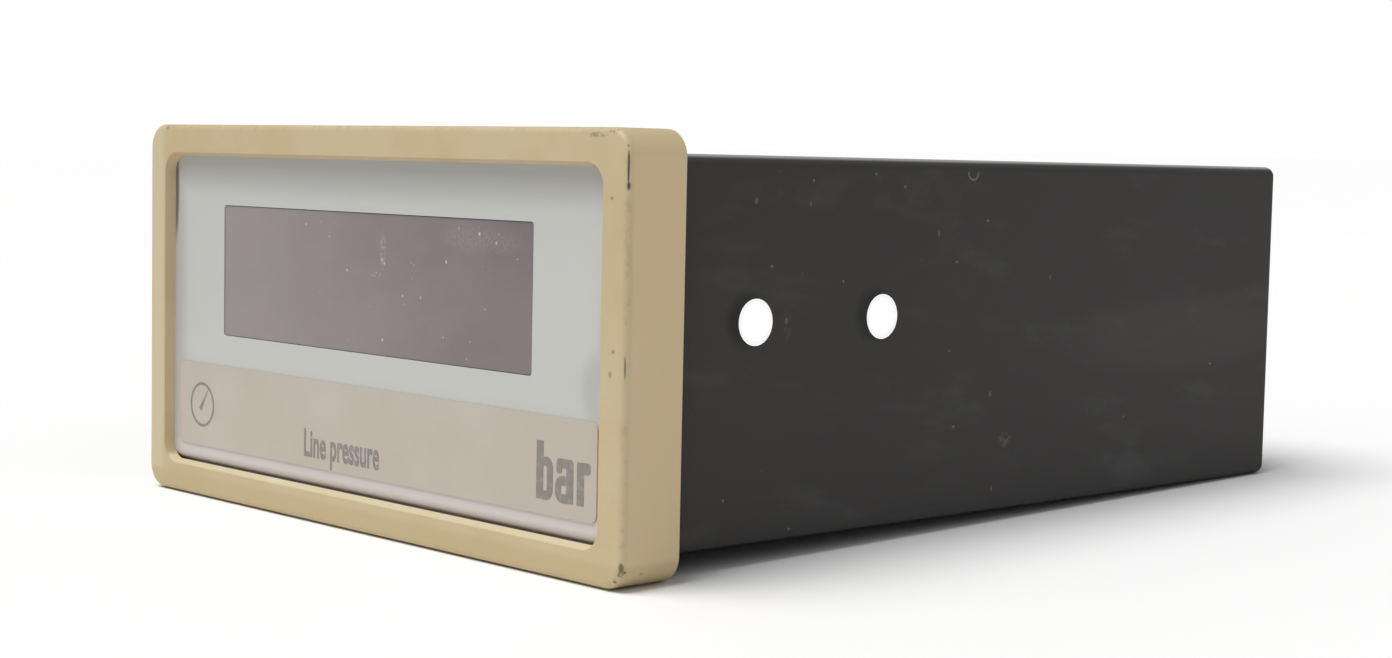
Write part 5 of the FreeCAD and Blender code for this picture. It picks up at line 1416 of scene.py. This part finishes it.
@dataclass
class MeasuringCircuit:
    """Converter chip in its socket, logic chips, film capacitors and input resistors."""

    workshop: Workshop
    shoulder: float = 1.4 * MM
    leg: float = 0.5 * MM
    chip_length: float = 19.4 * MM
    lead: float = 0.3 * MM

    def build(self) -> list[tuple[float, float]]:
        """Dresses and models the circuit.

        Returns:
            Places of its solder joints, m.
        """
        dress(["converter_socket"], MottledPlastic("socket_moulding", (0.022, 0.022, 0.024),
                                                   (0.038, 0.038, 0.040), 0.42).build())
        dress(["converter_chip", "logic_chips"], MottledPlastic("chip_epoxy", (0.028, 0.028, 0.028),
                                                                (0.045, 0.045, 0.044), 0.55, grain=5.0,
                                                                depth=0.02).build())
        mesh = bmesh.new()
        places: list[tuple[float, float]] = []
        low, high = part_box("converter_chip")
        places += self.legs(mesh, low, high, 20, low[2])
        low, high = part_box("logic_chips")
        places += self.legs(mesh, low, (high[0], low[1] + self.chip_length, high[2]), 7, low[2])
        places += self.legs(mesh, (low[0], high[1] - self.chip_length, low[2]), high, 7, low[2])
        tin = WorkedMetal("tinned_legs", (0.58, 0.57, 0.54), (0.42, 0.40, 0.34), 0.42).build()
        self.workshop.piece("chip_legs", mesh, tin, Body.CHASSIS, "plated_steel")
        return places + self.films() + self.resistors(tin)

    def legs(self, mesh: bmesh.types.BMesh, low: Sequence[float], high: Sequence[float], count: int,
             foot: float) -> list[tuple[float, float]]:
        """Two rows of shouldered legs along a chip.

        Args:
            mesh: The mesh to add to.
            low: Lowest corner of the chip, m.
            high: Highest corner of the chip, m.
            count: Legs in a row.
            foot: Height that they reach down to, m.

        Returns:
            Places of the legs, m.
        """
        middle, half = (low[1] + high[1]) / 2, (low[2] + high[2]) / 2
        broad, narrow = self.shoulder / 2, self.leg / 2
        places = []
        for side, face in ((-1, low[0]), (1, high[0])):
            for order in range(count):
                back = middle + (order - (count - 1) / 2) * LEAD_PITCH
                out, root = face + side * 0.42 * MM, face - side * 0.1 * MM
                near, far = sorted((out, root))
                Workshop.slab(mesh, (near, back - broad, half - 0.15 * MM),
                              (far, back + broad, half + 0.1 * MM))
                near, far = sorted((out, out - side * 0.25 * MM))
                Workshop.slab(mesh, (near, back - broad, foot + 0.9 * MM), (far, back + broad, half))
                Workshop.slab(mesh, (near, back - narrow, foot), (far, back + narrow, foot + 1.0 * MM))
                places.append((out, back))
        return places

    def films(self) -> list[tuple[float, float]]:
        """Dipped film capacitors with rounded bodies.

        Returns:
            Places of their leads, m.
        """
        low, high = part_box("film_capacitors")
        thick = 5.0 * MM
        mesh = bmesh.new()
        places = []
        for order in range(3):
            front = low[1] + order * (high[1] - low[1] - thick) / 2
            Workshop.slab(mesh, (low[0], front, low[2] + 0.5 * MM), (high[0], front + thick, high[2]),
                          1.1 * MM, 4)
            for across in (low[0] + 1.6 * MM, high[0] - 1.6 * MM):
                spot = (across, front + thick / 2)
                Workshop.lathe(mesh, [(0.0, 0.0), (0.9 * MM, 0.0), (1.0 * MM, 0.9 * MM), (0.0, 1.2 * MM)],
                               (*spot, low[2]), UP, 12)
                places.append(spot)
        red = MottledPlastic("dipped_red", (0.40, 0.035, 0.022), (0.47, 0.055, 0.03), 0.24,
                             coat=0.6).build()
        made = self.workshop.piece("film_bodies", mesh, red, Body.CHASSIS, "film_red")
        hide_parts("film_capacitors")
        return places

    def resistors(self, tin: bpy.types.Material) -> list[tuple[float, float]]:
        """Waisted resistors with swollen ends, colour bands and bent leads.

        Args:
            tin: Finish of the leads.

        Returns:
            Places of the leads, m.
        """
        low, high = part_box("input_resistors")
        radius, long = (high[2] - low[2]) / 2, high[0] - low[0]
        axis = low[2] + radius
        bodies, leads = bmesh.new(), bmesh.new()
        places = []
        for order in range(5):
            back = low[1] + radius + order * (high[1] - low[1] - 2 * radius) / 4
            shape = [(0.0, 0.0), (0.45, 0.0), (0.85, 0.03), (1.0, 0.10), (1.0, 0.17), (0.86, 0.24),
                     (0.80, 0.30)]
            half = [(radius * wide, long * along) for wide, along in shape]
            profile = half + [(wide, long - along) for wide, along in reversed(half)]
            Workshop.lathe(bodies, profile, (low[0], back, axis), RIGHT, 20)
            for side, end in ((-1, low[0]), (1, high[0])):
                out = 1.4 * MM
                Workshop.lathe(leads,
                               [(0.0, 0.0), (self.lead, 0.0), (self.lead, out), (0.0, out + self.lead)],
                               (end, back, axis), (float(side), 0.0, 0.0), 8)
                Workshop.lathe(leads, [(0.0, 0.0), (self.lead, 0.0), (self.lead, axis - low[2]),
                                       (0.0, axis - low[2] + self.lead)],
                               (end + side * out, back, low[2]), UP, 8)
                places.append((end + side * out, back))
        lacquer = BandedLacquer("banded_lacquer", low[0], long).build()
        made = self.workshop.piece("resistor_bodies", bodies, lacquer, Body.CHASSIS, "resistor_lacquer")
        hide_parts("input_resistors")
        self.workshop.piece("resistor_leads", leads, tin, Body.CHASSIS, "plated_steel")
        return places


# ------------------------------------------------------------------ studio


@dataclass
class Studio:
    """Camera, pale floor and soft lights."""

    camera_place: tuple[float, float, float] = (0.221748, -0.161159, 0.020835)
    azimuth: float = 46.885
    elevation: float = 4.273
    roll: float = 1.203
    focal_share: float = 2266.75 / 1392.0
    sensor: float = 36.0
    floor_low: float = -24.02 * MM
    floor_tilt: float = math.atan2(2.55, 113.0)
    surround: float = 0.39
    overhead: float = 2.44
    softness: float = 40.0
    from_above: tuple[float, float, float] = (-0.14, -0.36, 0.92)

    def build(self) -> None:
        """Makes the camera, the floor and the lights."""
        self.camera()
        self.floor()
        self.lights()

    def camera(self) -> None:
        """Sets the camera at the fitted place and angle."""
        turn, rise, roll = (math.radians(angle) for angle in (self.azimuth, self.elevation, self.roll))
        back = Vector((math.sin(turn) * math.cos(rise), -math.cos(turn) * math.cos(rise), math.sin(rise)))
        level = Vector((math.cos(turn), math.sin(turn), 0.0))
        upward = back.cross(level)
        right = math.cos(roll) * level + math.sin(roll) * upward
        top = -math.sin(roll) * level + math.cos(roll) * upward
        data = bpy.data.cameras.new("camera")
        data.sensor_width = self.sensor
        data.lens = self.focal_share * self.sensor
        data.clip_start = 0.01
        data.clip_end = 20.0
        made = add_object("camera", data)
        turned = Matrix((right, top, back)).transposed().to_4x4()
        made.matrix_world = Matrix.Translation(self.camera_place) @ turned
        bpy.context.scene.camera = made

    def floor(self) -> None:
        """A wide floor that meets the frame's lower edge and the case's rear edge."""
        mesh = bmesh.new()
        bmesh.ops.create_grid(mesh, x_segments=2, y_segments=2, size=3.0)
        tilt = Matrix.Translation((0.0, 0.0, self.floor_low)) @ Matrix.Rotation(self.floor_tilt, 4, "X")
        bmesh.ops.transform(mesh, matrix=tilt, verts=mesh.verts)
        data = mesh_data("floor", mesh)
        data.materials.append(StudioPaper().build())
        add_object("floor", data)

    def lights(self) -> None:
        """A pale surround and one broad soft light from above, a little to the front left."""
        world = bpy.data.worlds.new("surround")
        world.use_nodes = True
        tree = world.node_tree
        lit, seen = tree.nodes["Background"], tree.nodes.new("ShaderNodeBackground")
        lit.inputs["Color"].default_value = (1.0, 1.0, 1.0, 1.0)
        lit.inputs["Strength"].default_value = self.surround
        seen.inputs["Strength"].default_value = 1.0
        seen.inputs["Color"].default_value = (1.0, 1.0, 1.0, 1.0)
        mix, path = tree.nodes.new("ShaderNodeMixShader"), tree.nodes.new("ShaderNodeLightPath")
        tree.links.new(path.outputs["Is Camera Ray"], mix.inputs[0])
        tree.links.new(lit.outputs[0], mix.inputs[1])
        tree.links.new(seen.outputs[0], mix.inputs[2])
        tree.links.new(mix.outputs[0], tree.nodes["World Output"].inputs["Surface"])
        scene = bpy.context.scene
        scene.world = world
        scene.view_settings.view_transform = "Standard"
        data = bpy.data.lights.new("overhead", "SUN")
        data.energy = self.overhead
        data.angle = math.radians(self.softness)
        made = add_object("overhead", data)
        made.matrix_world = Vector(self.from_above).to_track_quat("Z", "Y").to_matrix().to_4x4()


# ------------------------------------------------------------------ assembly


def main() -> None:
    """Builds the indicator's looks piece by piece."""
    logging.basicConfig(level=logging.INFO, format="%(name)s: %(message)s", force=True)
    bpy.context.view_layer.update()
    workshop = Workshop()
    Studio().build()
    FrontFrame(workshop).build()
    CaseAssembly(workshop).build()
    boards = Boards(workshop)
    boards.build()
    boards.solder(PowerSupply(workshop).build() + MeasuringCircuit(workshop).build())
    LOG.info("%d pieces made", workshop.count)


if __name__ == "__main__":
    main()
